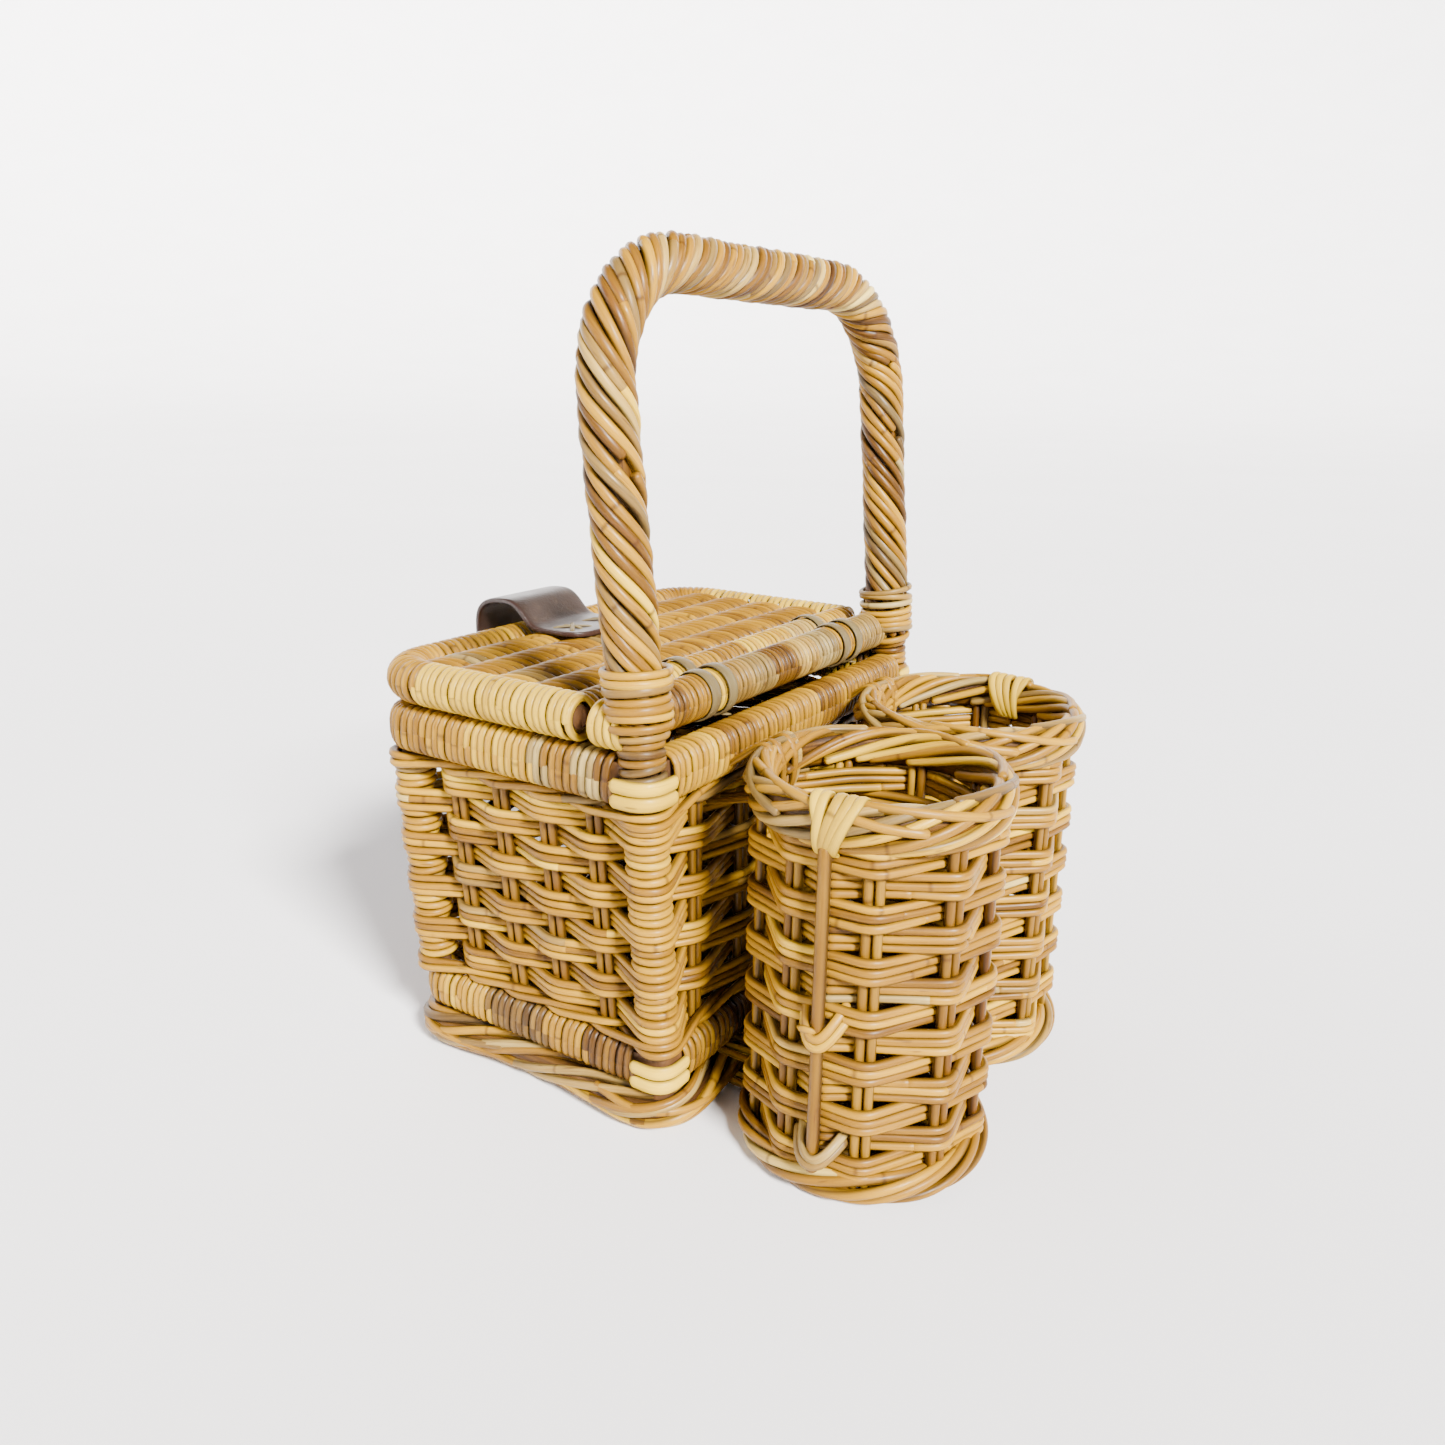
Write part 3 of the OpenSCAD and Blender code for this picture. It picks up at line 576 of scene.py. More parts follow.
def add_lengths(s, loop, mean, spread, grey, pieces=(3, 6)):
    """Lays a closed loop as a few separate lengths of strand with their own tones."""
    n = len(loop)
    count = int(s.rng.integers(pieces[0], pieces[1] + 1))
    cuts = np.sort(s.rng.choice(n, count, replace=False))
    for a, b in zip(cuts, np.append(cuts[1:], cuts[0] + n)):
        index = np.arange(a, b + 2) % n
        radius = STRAND_R * (1 + s.rng.normal(0, 0.03))
        s.add(loop[index], radius, UP, s.pick(mean, spread, grey), sides=7)


def lengths_of(s, points, margin, joins):
    """Cuts a strand of so many points into a few lengths, as (first, last) point of each."""
    cuts = [0, *sorted(s.rng.choice(np.arange(margin, points - margin), joins, replace=False)), points - 1]
    return [(a, b) for a, b in zip(cuts[:-1], cuts[1:]) if b - a > 3]


def stake(s, low, high, r, out, mean, spread, grey):
    """One upright rod, a little thicker or thinner than the next."""
    s.add(line(low, high, 12 * MM), r * s.rng.uniform(0.95, 1.08), out, s.pick(mean, spread, grey))


def make_stakes():
    """Paired upright stakes of the four walls."""
    s = Strands(12)
    s.shade_at = wall_shade
    lo, hi = RAIL_HI[2] - 4 * MM, RIM_LO[2] + 4 * MM
    half_gap = 2.75 * MM
    look = (0.62, 0.08, 0.0)
    for x in LONG_STAKES:
        for y in (FRONT_Y, BACK_Y):
            for d in (-half_gap, half_gap):
                stake(s, (x + d, y, lo), (x + d, y, hi), STAKE_R, (0, 1, 0), *look)
    for side in (-1, 1):
        for y in END_STAKES + MID_Y:
            for d in (-half_gap, half_gap):
                stake(s, (side * end_x(lo), y + d, lo), (side * end_x(hi), y + d, hi), STAKE_R,
                      (1, 0, 0), *look)
    s.build("stakes", "basket", "brown", ("wall_stakes",))


def make_corner_wraps():
    """Rings of cane stacked round each corner post where the weave passes inside it."""
    angle = circle(24)
    out = directions(angle, np.array([1.0, 0, 0]), np.array([0, 1.0, 0]))
    for name, sx, back in (("front_left", -1, 0), ("front_right", 1, 0),
                           ("back_left", -1, 1), ("back_right", 1, 1)):
        s = Strands(20 + back * 2 + sx)
        y = BACK_Y if back else FRONT_Y
        for k, z in enumerate(ROWS):
            outside = (back + k + 1) % 2 == 0
            radius = (6.6 if outside else 9.0) * MM
            for dz in bundle_offsets():
                zz = z + dz
                ring = np.column_stack([sx * end_x(zz) + radius * np.cos(angle), y + radius * np.sin(angle),
                                        zz + 0.4 * MM * np.sin(angle + s.rng.uniform(0, 6))])
                s.add(ring, 2.2 * MM, out, s.pick(0.64, 0.12, 0.05), closed=True, sides=7)
        s.build("corner_wraps_" + name, "basket", "honey", ("corner_wrap_" + name,))


def make_waling():
    """Bands of waling: each rod passes inside one stake, then climbs across the next ones outside."""
    rods = 3
    for name, z, gap, seed in (("upper_waling", RIM_LO[2] - 5.2 * MM, 4.8, 31),
                               ("lower_waling", RAIL_HI[2] + 3.4 * MM, 5.0, 32)):
        s = Strands(seed)
        s.touch = "up"
        s.shade_at = wall_shade
        climb = [0.0, *((np.arange(rods - 1) - (rods - 2) / 2) * gap * MM)]
        loop = woven_loop(z, lambda i: -1 if i % rods == 0 else 1, lambda i: climb[i % rods], circuits=rods,
                          corner_out=11.4 * MM, flat=1 * MM)
        add_lengths(s, loop, mean=0.58, spread=0.15, grey=0.15, pieces=(8, 11))
        s.build(name + "_rods", "basket", "honey", (name,))


# ---- rims and rails ------------------------------------------------------------

FRONT_TAIL = 22 * MM              # how far the front's wrapping runs on down each end
BACK_CLEAR = 9.5 * MM             # where the wrapping stops short of the back posts
FRONT_TURN = 7 * MM               # bend radius of the rails round the front posts


def rail_path(side, z):
    """Centre line of one side of a rim or rail on the posts' axes, with its outward directions.
    The front runs on round both front corners."""
    x = end_x(z)
    if side == "front":
        pts, out = [(-x, FRONT_Y + FRONT_TAIL)], [(-1, 0)]
        for sx, a0 in ((-1, 180), (1, 270)):
            for a in np.radians(np.linspace(a0, a0 + 90, 12)):
                out.append((math.cos(a), math.sin(a)))
                pts.append((sx * (x - FRONT_TURN) + FRONT_TURN * math.cos(a),
                            FRONT_Y + FRONT_TURN + FRONT_TURN * math.sin(a)))
        pts.append((x, FRONT_Y + FRONT_TAIL))
        out.append((1, 0))
    elif side == "back":
        pts = [(x - BACK_CLEAR, BACK_Y), (-x + BACK_CLEAR, BACK_Y)]
        out = [(0, 1), (0, 1)]
    else:
        sx = 1 if side == "right" else -1
        pts = [(sx * x, FRONT_Y + FRONT_TAIL), (sx * x, BACK_Y - BACK_CLEAR)]
        out = [(sx, 0), (sx, 0)]
    pts, out = np.array(pts), np.array(out, float)
    lengths = path_lengths(pts)
    even = np.linspace(0, lengths[-1], max(int(lengths[-1] / (2 * MM)), 4))
    path = np.column_stack([values_at(even, lengths, pts), np.full(len(even), z)])
    outward = np.column_stack([values_at(even, lengths, out), np.zeros(len(even))])
    return path, unit(outward)


def wrapped_sides(name, seed, z, reach_out, reach_in, half_up, mean):
    """Winds cane round the four sides of a rim or rail."""
    width, thick = 2.4 * MM, 1.25 * MM
    profile = rounded_box((reach_out + reach_in) / 2 - thick, half_up - thick, 3.0,
                          shift=(reach_out - reach_in) / 2)
    for i, side in enumerate(("front", "right", "back", "left")):
        s = Strands(seed + i)
        s.crease = 0.68
        path, out = rail_path(side, z)
        wrap(s, path, out, profile, width, thick, mean=mean, spread=0.17, grey=0.07, slant=0.3, run=(2, 9),
             reach=reach_out - 2 * thick)
        s.build("%s_wraps_%s" % (name, side), "basket", "honey", ("%s_%s" % (name, side),))


def corner_bands(s, z_list, z_mid, reach, width, tail):
    """Pale bands laid level round the two back corners of a rim or rail. tail is how far they run on."""
    thick = 2.0 * MM
    x = end_x(z_mid)
    for sx in (-1, 1):
        n1, n2 = np.array([sx, 0.0]), np.array([0, 1.0])
        corner = np.array([sx * x, BACK_Y])
        for z in z_list:
            r = reach - thick * 0.6
            before = corner + n1 * r - np.linspace(tail, 1 * MM, 6)[:, None] * n2
            arc = corner + r * directions(np.linspace(0, np.pi / 2, 10), n1, n2)
            after = corner + n2 * r - np.linspace(1 * MM, tail, 6)[:, None] * n1
            plan = np.vstack([before, arc, after])
            pts = smooth(resample(np.column_stack([plan, np.full(len(plan), z)]), 2 * MM, False), 3, False)
            centre = np.array([*corner, z]) - np.array([*(n1 + n2), 0]) * 20 * MM
            pts[:, 2] += s.rng.uniform(-0.5, 0.5) * MM
            s.add(pts, width, pts - centre, s.pick(0.72, 0.08, 0.0), flat=thick / width)


def make_rims():
    """The wound rim and base rail, with pale bands round their back corners."""
    wrapped_sides("rim", 40, RIM_MID, reach_out=POST_INSET, reach_in=7.5 * MM,
                  half_up=(RIM_HI[2] - RIM_LO[2]) / 2, mean=0.54)
    s = Strands(45)
    heights = RIM_LO[2] + np.array([4.6, 12.2]) * MM
    corner_bands(s, heights, RIM_MID, POST_INSET, width=3.9 * MM, tail=8 * MM)
    s.build("rim_corner_wraps", "basket", "straw", ("rim_corner_bands",))
    wrapped_sides("base_rail", 50, RAIL_MID, reach_out=RAIL_REACH, reach_in=9 * MM,
                  half_up=(RAIL_HI[2] - RAIL_LO[2]) / 2, mean=0.52)
    s = Strands(55)
    heights = RAIL_LO[2] + np.array([5.4, 13.0]) * MM
    corner_bands(s, heights, RAIL_MID, RAIL_REACH, width=4.0 * MM, tail=9 * MM)
    s.build("base_corner_wraps", "basket", "straw")


def rolled(s, centre_line, outward, radii, span, turn, count, r, lift=0.0, mean=0.57, start=0.0, grey=0.12):
    """A border of rods that each run a short way along a closed line while rolling over it. radii are the
    section's half width and half height, lift raises it, span is a rod's length in spaces between rods,
    turn the (from, to) angle in the section, 0 outward and 90 degrees up, and start the share of the line
    where the first rod begins."""
    closed_line = np.vstack([centre_line, centre_line[:1]])
    closed_out = np.vstack([outward, outward[:1]])
    lengths = path_lengths(closed_line)
    total = lengths[-1]
    for i in range(count):
        begin = total * (i / count + start) + s.rng.uniform(-0.1, 0.1) * total / count
        reach = span * total / count * s.rng.uniform(0.92, 1.08)
        t = np.linspace(0, 1, max(int(reach / (3 * MM)), 8))
        where = (begin + t * reach) % total
        out = unit(values_at(where, lengths, closed_out))
        psi = np.radians(turn[0] + (turn[1] - turn[0]) * (0.5 * t + 0.5 * step_up(t, 0, 1)))
        pts = values_at(where, lengths, closed_line) + radii[0] * np.cos(psi)[:, None] * out
        pts = smooth(pts + (radii[1] * np.sin(psi) + lift)[:, None] * UP, 2, False)
        s.add(pts, r * s.rng.uniform(0.92, 1.08), directions(psi, out, UP), s.pick(mean, 0.12, grey))


def plan_ring(z, reach, corner):
    """A closed line round the basket at a distance outside the posts, with its outward directions."""
    x, half = end_x(z) + reach - corner, (BACK_Y - FRONT_Y) / 2 + reach - corner
    points = []
    for sx, sy, a0 in ((1, -1, -90), (1, 1, 0), (-1, 1, 90), (-1, -1, 180)):
        for a in np.radians(np.linspace(a0, a0 + 90, 10)):
            points.append((sx * x + corner * np.cos(a), MID_Y + sy * half + corner * np.sin(a), z))
    ring = resample(np.array(points), 4 * MM, True)
    tangent = unit(np.roll(ring, -1, 0) - np.roll(ring, 1, 0))
    return ring, np.cross(tangent, UP)


def make_foot():
    """The rolled border under the base rail, with extra rods round its corners."""
    s = Strands(60)
    ring, out = plan_ring(FOOT_MID, 4.5 * MM, 14 * MM)
    corner_x, corner_half = end_x(FOOT_MID), (BACK_Y - FRONT_Y) / 2
    away = np.hypot(np.abs(ring[:, 0]) - corner_x, np.abs(ring[:, 1] - MID_Y) - corner_half)
    ring = ring + 4.5 * MM * (1 - step_up(away, 10 * MM, 60 * MM))[:, None] * out
    rolled(s, ring, out, radii=(7.4 * MM, 8.2 * MM), span=8.6, turn=(-115, 215), count=34, r=2.6 * MM,
           mean=0.52, grey=0.3)
    for sx in (-1, 1):
        for sy in (-1, 1):
            corner = np.array([sx * corner_x, MID_Y + sy * corner_half, FOOT_MID])
            middle = int(np.argmin(np.linalg.norm(ring - corner, axis=1)))
            for psi0, psi1 in ((-95, 20), (-60, -100), (-20, -75), (-85, -30), (40, -40)):
                reach = int(s.rng.integers(11, 17))
                shift = int(s.rng.integers(-5, 6))
                at = np.arange(middle + shift - reach, middle + shift + reach + 1) % len(ring)
                psi = np.radians(np.linspace(psi0, psi1, len(at)))
                bulge = 1.0 * MM * np.sin(np.linspace(0, np.pi, len(at)))
                pts = (ring[at] + ((7.6 * MM + bulge) * np.cos(psi))[:, None] * out[at]
                       + (8.0 * MM * np.sin(psi))[:, None] * UP)
                s.add(smooth(pts, 3, False), 2.35 * MM, directions(psi, out[at], UP),
                      s.pick(0.55, 0.14, 0.25))
    # Dark core under the rods: painted shade for the gaps between them
    s.add(ring, 6.6 * MM, out, (0.1, 0.0), sides=10, closed=True)
    s.build("foot_rods", "basket", "honey", ("foot_border",))


def make_floor():
    """Plain weave of the floor: sticks across and strands along."""
    lo, hi = box("floor_weave")
    s = Strands(61)
    # Painted shade: every floor strand is darkened evenly, as deep inside the basket
    s.shade_at = lambda pts: np.full(len(pts), 0.4)
    mid = middle("floor_weave")[2]
    spacing = 24 * MM
    sticks = np.arange(lo[0] + spacing / 2, hi[0], spacing)
    for x in sticks:
        s.add(line((x, lo[1], mid), (x, hi[1], mid), 12 * MM), 2.2 * MM, UP, s.pick(0.4, 0.1, 0.0))
    for k, y in enumerate(np.arange(lo[1] + 2.4 * MM, hi[1], 4.7 * MM)):
        x = np.arange(lo[0], hi[0], 3 * MM)
        phase = (x - sticks[0]) / spacing * np.pi + (k % 2) * np.pi
        pts = np.column_stack([x, np.full_like(x, y), mid + 2.3 * MM * np.cos(phase)])
        s.add(pts, 2.5 * MM, UP, s.pick(0.5, 0.12, 0.1), sides=6)
    s.build("floor_strands", "basket", "honey", ("floor_weave",))


# ---- handle ---------------------------------------------------------------------

HANDLE_BEND = 58 * MM             # bend radius of the handle's two corners
HANDLE_CLOSE = 7.1 * MM           # how far each leg closes in on its way up
BAR_Y, BAR_Z = middle("handle_bar_rods")[1:]
BAR_HALF = box("handle_bar_rods")[1][0]
HANDLE_RISE = math.hypot(BAR_Z - POST_TOP, BACK_Y - BAR_Y)
HANDLE_LEAN = math.atan2(BACK_Y - BAR_Y, BAR_Z - POST_TOP)
LEG_CLOSE = math.atan2(HANDLE_CLOSE, HANDLE_RISE)


def on_handle_plane(x, v):
    """Places in the handle's leaning plane: x across the basket and v up the plane from the posts' tops."""
    return np.stack([x, BACK_Y - v * math.sin(HANDLE_LEAN), POST_TOP + v * math.cos(HANDLE_LEAN)], -1)


def leg_axis(side, distance):
    """A point on a leg's axis, a distance up from the posts' tops."""
    x = end_x(POST_TOP) - distance * math.sin(LEG_CLOSE)
    return on_handle_plane(side * x, distance * math.cos(LEG_CLOSE))


def handle_line(start):
    """The handle's centre line from one leg over to the other, with two directions across it."""
    turn = np.linspace(LEG_CLOSE, math.pi / 2, 24)[:, None]
    arc = [BAR_HALF, HANDLE_RISE - HANDLE_BEND] + HANDLE_BEND * np.hstack([np.cos(turn), np.sin(turn)])
    leg_start = (end_x(POST_TOP) - start * math.sin(LEG_CLOSE), start * math.cos(LEG_CLOSE))
    right = np.vstack([leg_start, arc, [0, HANDLE_RISE]])
    left = (right * [-1, 1])[::-1][1:]
    flat = smooth(resample(np.vstack([right, left]), 3 * MM, False), 2, False)
    world = on_handle_plane(flat[:, 0], flat[:, 1])
    across = np.tile([0, math.cos(HANDLE_LEAN), math.sin(HANDLE_LEAN)], (len(world), 1))
    return world, across, np.cross(unit(np.gradient(world, axis=0)), across)


def make_handle():
    """Eleven rods laid in one left-handed helix round the core, tighter along the bar."""
    world, n1, n2 = handle_line(17 * MM)
    s = Strands(70)
    count, r, ring = 11, 2.7 * MM, 10.75 * MM
    leg_pitch, bar_pitch = 90 * MM, 68 * MM
    # Dark core under the rods: painted shade for the gaps between them
    s.add(world, ring - 1.9 * MM, n1, (0.1, 0.0), sides=14)
    step = np.concatenate([[0], np.linalg.norm(np.diff(world, axis=0), axis=1)])
    bar = step_up(world[:, 2], POST_TOP + 150 * MM, POST_TOP + 215 * MM)
    turn = -np.cumsum(TAU * step / (leg_pitch * (1 - bar) + bar_pitch * bar))
    along = np.linspace(0, 1, len(turn))
    for i in range(count):
        angle = turn + TAU * i / count
        for waves, size in ((2.7, 0.07), (6.1, 0.05)):
            angle = angle + size * np.sin(TAU * waves * along + s.rng.uniform(0, 6))
        radius = ring + 0.35 * MM * np.sin(TAU * 5 * along + s.rng.uniform(0, 6))
        out = directions(angle, n1, n2)
        pts = world + radius[:, None] * out
        # Each rod is made of a few lengths, so its colour changes at the joins
        for a, b in lengths_of(s, len(pts), 30, 4):
            s.add(pts[a:b + 1], r * s.rng.uniform(0.93, 1.06), out[a:b + 1], s.pick(0.47, 0.25, 0.34),
                  sides=10)
    s.build("handle_helix", "basket", "handle",
            ("handle_leg_rods", "handle_bend_rods", "handle_bar_rods", "handle_core"))


def make_bindings():
    """Cane wound round each leg above the rim, narrow at the foot and bulging over the handle's rods."""
    s = Strands(75)
    for side in (-1, 1):
        for lo, hi, r_low, r_high, tone in ((-7, 13, 9.6, 9.9, 0.3), (13, 18, 11.4, 13.4, 0.42),
                                            (18, 47, 14.4, 15.4, 0.56)):
            wind_upright(s, leg_axis(side, lo * MM), leg_axis(side, hi * MM), r_low * MM, r_high * MM, tone)
    s.build("leg_wraps", "basket", "honey", ("leg_bindings",))


def wind_upright(s, a, b, r_low, r_high, mean):
    """Turns of cane round an upright rod from a to b."""
    width, thick = 2.3 * MM, 1.8 * MM
    length = np.linalg.norm(b - a)
    turns = max(int(round(length / (1.85 * width))), 1)
    axis = (b - a) / length
    e1 = unit(np.cross(axis, (0, 1.0, 0)))
    angle = circle(28)
    out = directions(angle, e1, np.cross(axis, e1))
    for k in range(turns):
        share = (k + 0.5) / turns
        rise = share * length + s.rng.normal(0, 0.25) * MM
        tilt = s.rng.normal(0, 0.9) * MM
        radius = (r_low + (r_high - r_low) * share) * (1 + s.rng.normal(0, 0.015))
        climb = rise + tilt * np.sin(angle + s.rng.uniform(0, 6))
        s.add(a + radius * out + climb[:, None] * axis, width * s.rng.uniform(0.85, 1.1), out,
              s.pick(mean, 0.15, 0.35), flat=thick / width, closed=True)


def end_ring(s, x, y, z, r, width, thick, mean):
    """One closed turn that finishes the end of a rod that runs along y."""
    out = directions(circle(32), np.array([1.0, 0, 0]), -UP)
    s.add(np.array([x, y, z]) + r * out, width, out, s.pick(mean, 0.06, 0.0), flat=thick / width, closed=True)


def make_hinge_rail():
    """The fixed rail between the legs, its wraps, its stubs and the cane loops that hold the lid."""
    s = Strands(80)
    lo, hi = box("hinge_rail_wrap")
    path = line((hi[0] + 2 * MM, RAIL_Y, RAIL_Z), (lo[0] - 2 * MM, RAIL_Y, RAIL_Z))
    side = np.tile(np.array([0, 1.0, 0]), (len(path), 1))
    wrap(s, path, side, round_profile(10.4 * MM), 2.1 * MM, 1.3 * MM, mean=0.5, spread=0.13, grey=0.4,
         slant=0.35, run=(2, 7))
    s.build("hinge_rail_turns", "basket", "honey", ("hinge_rail_wrap",))
    s = Strands(81)
    lo, hi = box("rail_stubs")
    for sx in (-1, 1):
        x = sx * (hi[0] - 11.7 * MM)
        for k in range(4):
            y = lo[1] + (2.6 + 4.7 * k) * MM
            end_ring(s, x, y, LID_Z, r=10.0 * MM, width=2.5 * MM, thick=1.7 * MM, mean=0.66)
        core = line((x, lo[1] + 5.5 * MM, LID_Z), (x, lo[1] + 16 * MM, LID_Z), 3 * MM)
        s.add(core, 8.6 * MM, UP, (0.3, 0.5), sides=16)
    s.build("rail_stub_turns", "basket", "straw", ("rail_stubs",))
    make_hinge_loops()


LOOPS = (66 * MM, -74 * MM)       # where the two hinge loops are along the rail


def make_hinge_loops():
    """Flat grey cane: a turn round the lid's rod, across between the rods, and two round the fixed rail."""
    s = Strands(82)
    s.crease = 0.4

    def turn(x, y, z, r, a0, a1, x1=None):
        """Part of a turn round a rod, from angle a0 to a1, that may drift along it from x to x1."""
        angle = np.radians(np.linspace(a0, a1, max(int(abs(a1 - a0) / 9), 6)))
        place = np.linspace(x, x if x1 is None else x1, len(angle))
        out = np.column_stack([np.zeros(len(angle)), np.cos(angle), np.sin(angle)])
        return np.column_stack([place, y + r * np.cos(angle), z + r * np.sin(angle)]), out

    for x0 in LOOPS:
        look = s.pick(0.45, 0.06, 0.0)
        lid_r, rail_r = LID_R + 1.0 * MM, 12.5 * MM
        parts = (turn(x0 - 13 * MM, HINGE_Y, LID_Z, lid_r, -90, 268, x0 - 10 * MM),
                 turn(x0 + 10 * MM, RAIL_Y, RAIL_Z, rail_r, -90, 268, x0 + 7 * MM),
                 turn(x0 - 5 * MM, RAIL_Y, RAIL_Z, rail_r + 0.4 * MM, -90, 268, x0 - 7 * MM))
        for pts, out in parts:
            s.add(pts, 4.2 * MM, out, look, flat=0.16)
        low, low_out = turn(x0 - 10 * MM, HINGE_Y, LID_Z, lid_r, -90, -15)
        high, high_out = turn(x0 - 7 * MM, RAIL_Y, RAIL_Z, rail_r, 165, 90)
        pts = smooth(np.vstack([low, high]), 2, False)
        s.add(pts, 4.0 * MM, np.vstack([low_out, -high_out[:1], high_out[1:]]), look, flat=0.16)
        t = np.linspace(0, 1, 14)
        bend = np.radians(-70 - 200 * t)
        tail = np.column_stack([x0 - 7 * MM - 5 * MM * t, RAIL_Y + 5.5 * MM + 6 * MM * np.cos(bend),
                                RAIL_Z - 12.5 * MM + 3.2 * MM + 3.2 * MM * np.sin(bend)])
        s.add(tail, 3.6 * MM, (0, 0.5, 1), look, flat=0.16)
    s.build("hinge_bands", "basket", "grey", ("hinge_loops",))


# ---- lid -----------------------------------------------------------------------

def lid_line(end):
    """The lid frame's centre line: up one side, round the front and back down the other."""
    x, y0, r = LID_SIDE_X, LID_FRONT_Y, LID_CORNER
    pts = [(x, HINGE_Y + end, LID_Z)]
    for a in np.radians(np.linspace(0, -90, 12)):
        pts.append((x - r + r * np.cos(a), y0 + r + r * np.sin(a), LID_Z))
    for a in np.radians(np.linspace(-90, -180, 12)):
        pts.append((-x + r + r * np.cos(a), y0 + r + r * np.sin(a), LID_Z))
    pts.append((-x, HINGE_Y + end, LID_Z))
    return resample(np.array(pts), 3 * MM, False)


def make_lid_frame():
    """The lid's frame: its sides and front wound as one run each, its hinge rod wound on its own."""
    path = lid_line(1.5 * MM)
    side = np.cross(UP, unit(np.gradient(path, axis=0)))
    side = side * np.sign((side * (path - np.array([0, MID_Y, LID_Z]))).sum(1, keepdims=True))
    n = len(path)
    cut = int(np.argmax(path[:, 1] < LID_FRONT_Y + LID_CORNER + 6 * MM))
    for name, part, seed in (("right", slice(0, cut + 1), 83), ("front", slice(cut, n - cut), 84),
                             ("left", slice(n - cut - 1, n), 85)):
        s = Strands(seed)
        front = name == "front"
        width, thick = (2.6 * MM, 1.4 * MM) if front else (2.35 * MM, 1.0 * MM)
        s.crease = 0.68 if front else 0.5
        wrap(s, path[part], side[part], round_profile(LID_R - thick), width, thick, mean=0.62,
             spread=0.09, grey=0.04, tight=0.95, slant=0.4 if front else 0.1, reach=7 * MM)
        if not front:
            x, y, _ = path[0] if name == "right" else path[-1]
            end_ring(s, x, y + 0.6 * MM, LID_Z, r=LID_R - 2.2 * MM, width=1.9 * MM, thick=1.9 * MM, mean=0.45)
            # The core stops short of the wound end, clear of the rail's stub behind it
            core = line((x, y - 12 * MM, LID_Z), (x, y - 3.5 * MM, LID_Z), 2 * MM)
            s.add(core, LID_R - 3.4 * MM, UP, (0.25, 0.6), sides=16)
        material, slot = ("honey", "wrapping_cane") if front else ("straw", "pale_cane")
        s.build("lid_turns_" + name, "lid", material, ("lid_wrap_" + name,))
    s = Strands(86)
    lo, hi = box("lid_wrap_back")
    path = line((hi[0] + 1 * MM, HINGE_Y, LID_Z), (lo[0] - 1 * MM, HINGE_Y, LID_Z))
    side = np.tile(np.array([0, -1.0, 0]), (len(path), 1))
    wrap(s, path, side, round_profile(10.3 * MM), 2.3 * MM, 1.3 * MM, mean=0.68, spread=0.1, grey=0.12,
         slant=0.3)
    s.build("lid_turns_back", "lid", "honey", ("lid_wrap_back",))


RIB_COUNT = 4
RIB_SLANT = -0.6                  # how far a rib's strands lean, in half widths


def make_lid_weave():
    """Thick ribs across the lid, each wound with slanting strands, and dark strands between them: painted
    shade in the gaps.
    """
    s = Strands(88)
    hi = box("lid_weave")[1]
    start, stop = LID_FRONT_Y + LID_R + 1 * MM, HINGE_Y - LID_R - 2.6 * MM
    half_y = (stop - start) / RIB_COUNT / 2
    z_mid = hi[2] - 4.6 * MM
    # Painted shade: the ribs' strands darken below the ribs' middle height
    s.shade_at = lambda pts: 0.25 + 0.75 * step_up(pts[:, 2], z_mid - 2 * MM, z_mid + 3.4 * MM)
    for k in range(RIB_COUNT):
        y = start + half_y * (2 * k + 1)
        front = max(0.0, LID_FRONT_Y + LID_CORNER - y)      # how far the rib is within the bent corners
        half = LID_SIDE_X - LID_R + 5 * MM - 0.5 * front
        path = line((half, y, z_mid), (-half, y, z_mid), 4 * MM)
        path[:, 1] += 0.7 * MM * np.sin(path[:, 0] * 31 + k * 1.9)
        side = np.tile(np.array([0, -1.0, 0]), (len(path), 1))
        profile = rounded_box(half_y - 2.0 * MM, 3.9 * MM, 2.3)
        wrap(s, path, side, profile, 3.1 * MM, 2.8 * MM, mean=0.52, spread=0.09, grey=0.03, slant=RIB_SLANT,
             tight=1.02, run=(1, 3), segments=28)
        # Near-black strands along each rib's edges: painted shade in the gaps between the ribs
        for edge in (y - half_y, y + half_y):
            s.add(line((half - 3 * MM, edge, z_mid), (3 * MM - half, edge, z_mid), 8 * MM), 3 * MM, UP,
                  (0.08, 0.0))
    s.build("lid_ribs", "lid", "honey", ("lid_weave",))


# ---- strap ---------------------------------------------------------------------

STRAP_HALF = 27 * MM              # half width
STRAP_T = 3 * MM                  # thickness
STRAP_SEWN = 32 * MM              # length that lies flat on the lid
STRAP_COLUMNS = (-1, -0.97, -0.9, -0.7, -0.5, -0.32, -0.185, -0.09, 0,
                 0.09, 0.185, 0.32, 0.5, 0.7, 0.9, 0.97, 1)
# Up to each distance from the edge, in half widths: how much thinner the strap is, and its edge tint
STRAP_EDGE = ((0.02, 0.35, 1.0), (0.05, 0.08, 0.75), (0.15, 0.0, 0.15), (2.0, 0.0, 0.0))
SLOT_COLUMNS = (6, 7, 8, 9)       # the strips between columns that the slot opens
SLOT_HALF = 17 * MM
SLOT_FROM_TIP = 70 * MM           # the slot lies within this length of the tip


def bezier(p, t):
    """Places along a cubic curve with four control points."""
    t = t[:, None]
    return (1 - t) ** 3 * p[0] + 3 * t * (1 - t) ** 2 * p[1] + 3 * t * t * (1 - t) * p[2] + t ** 3 * p[3]


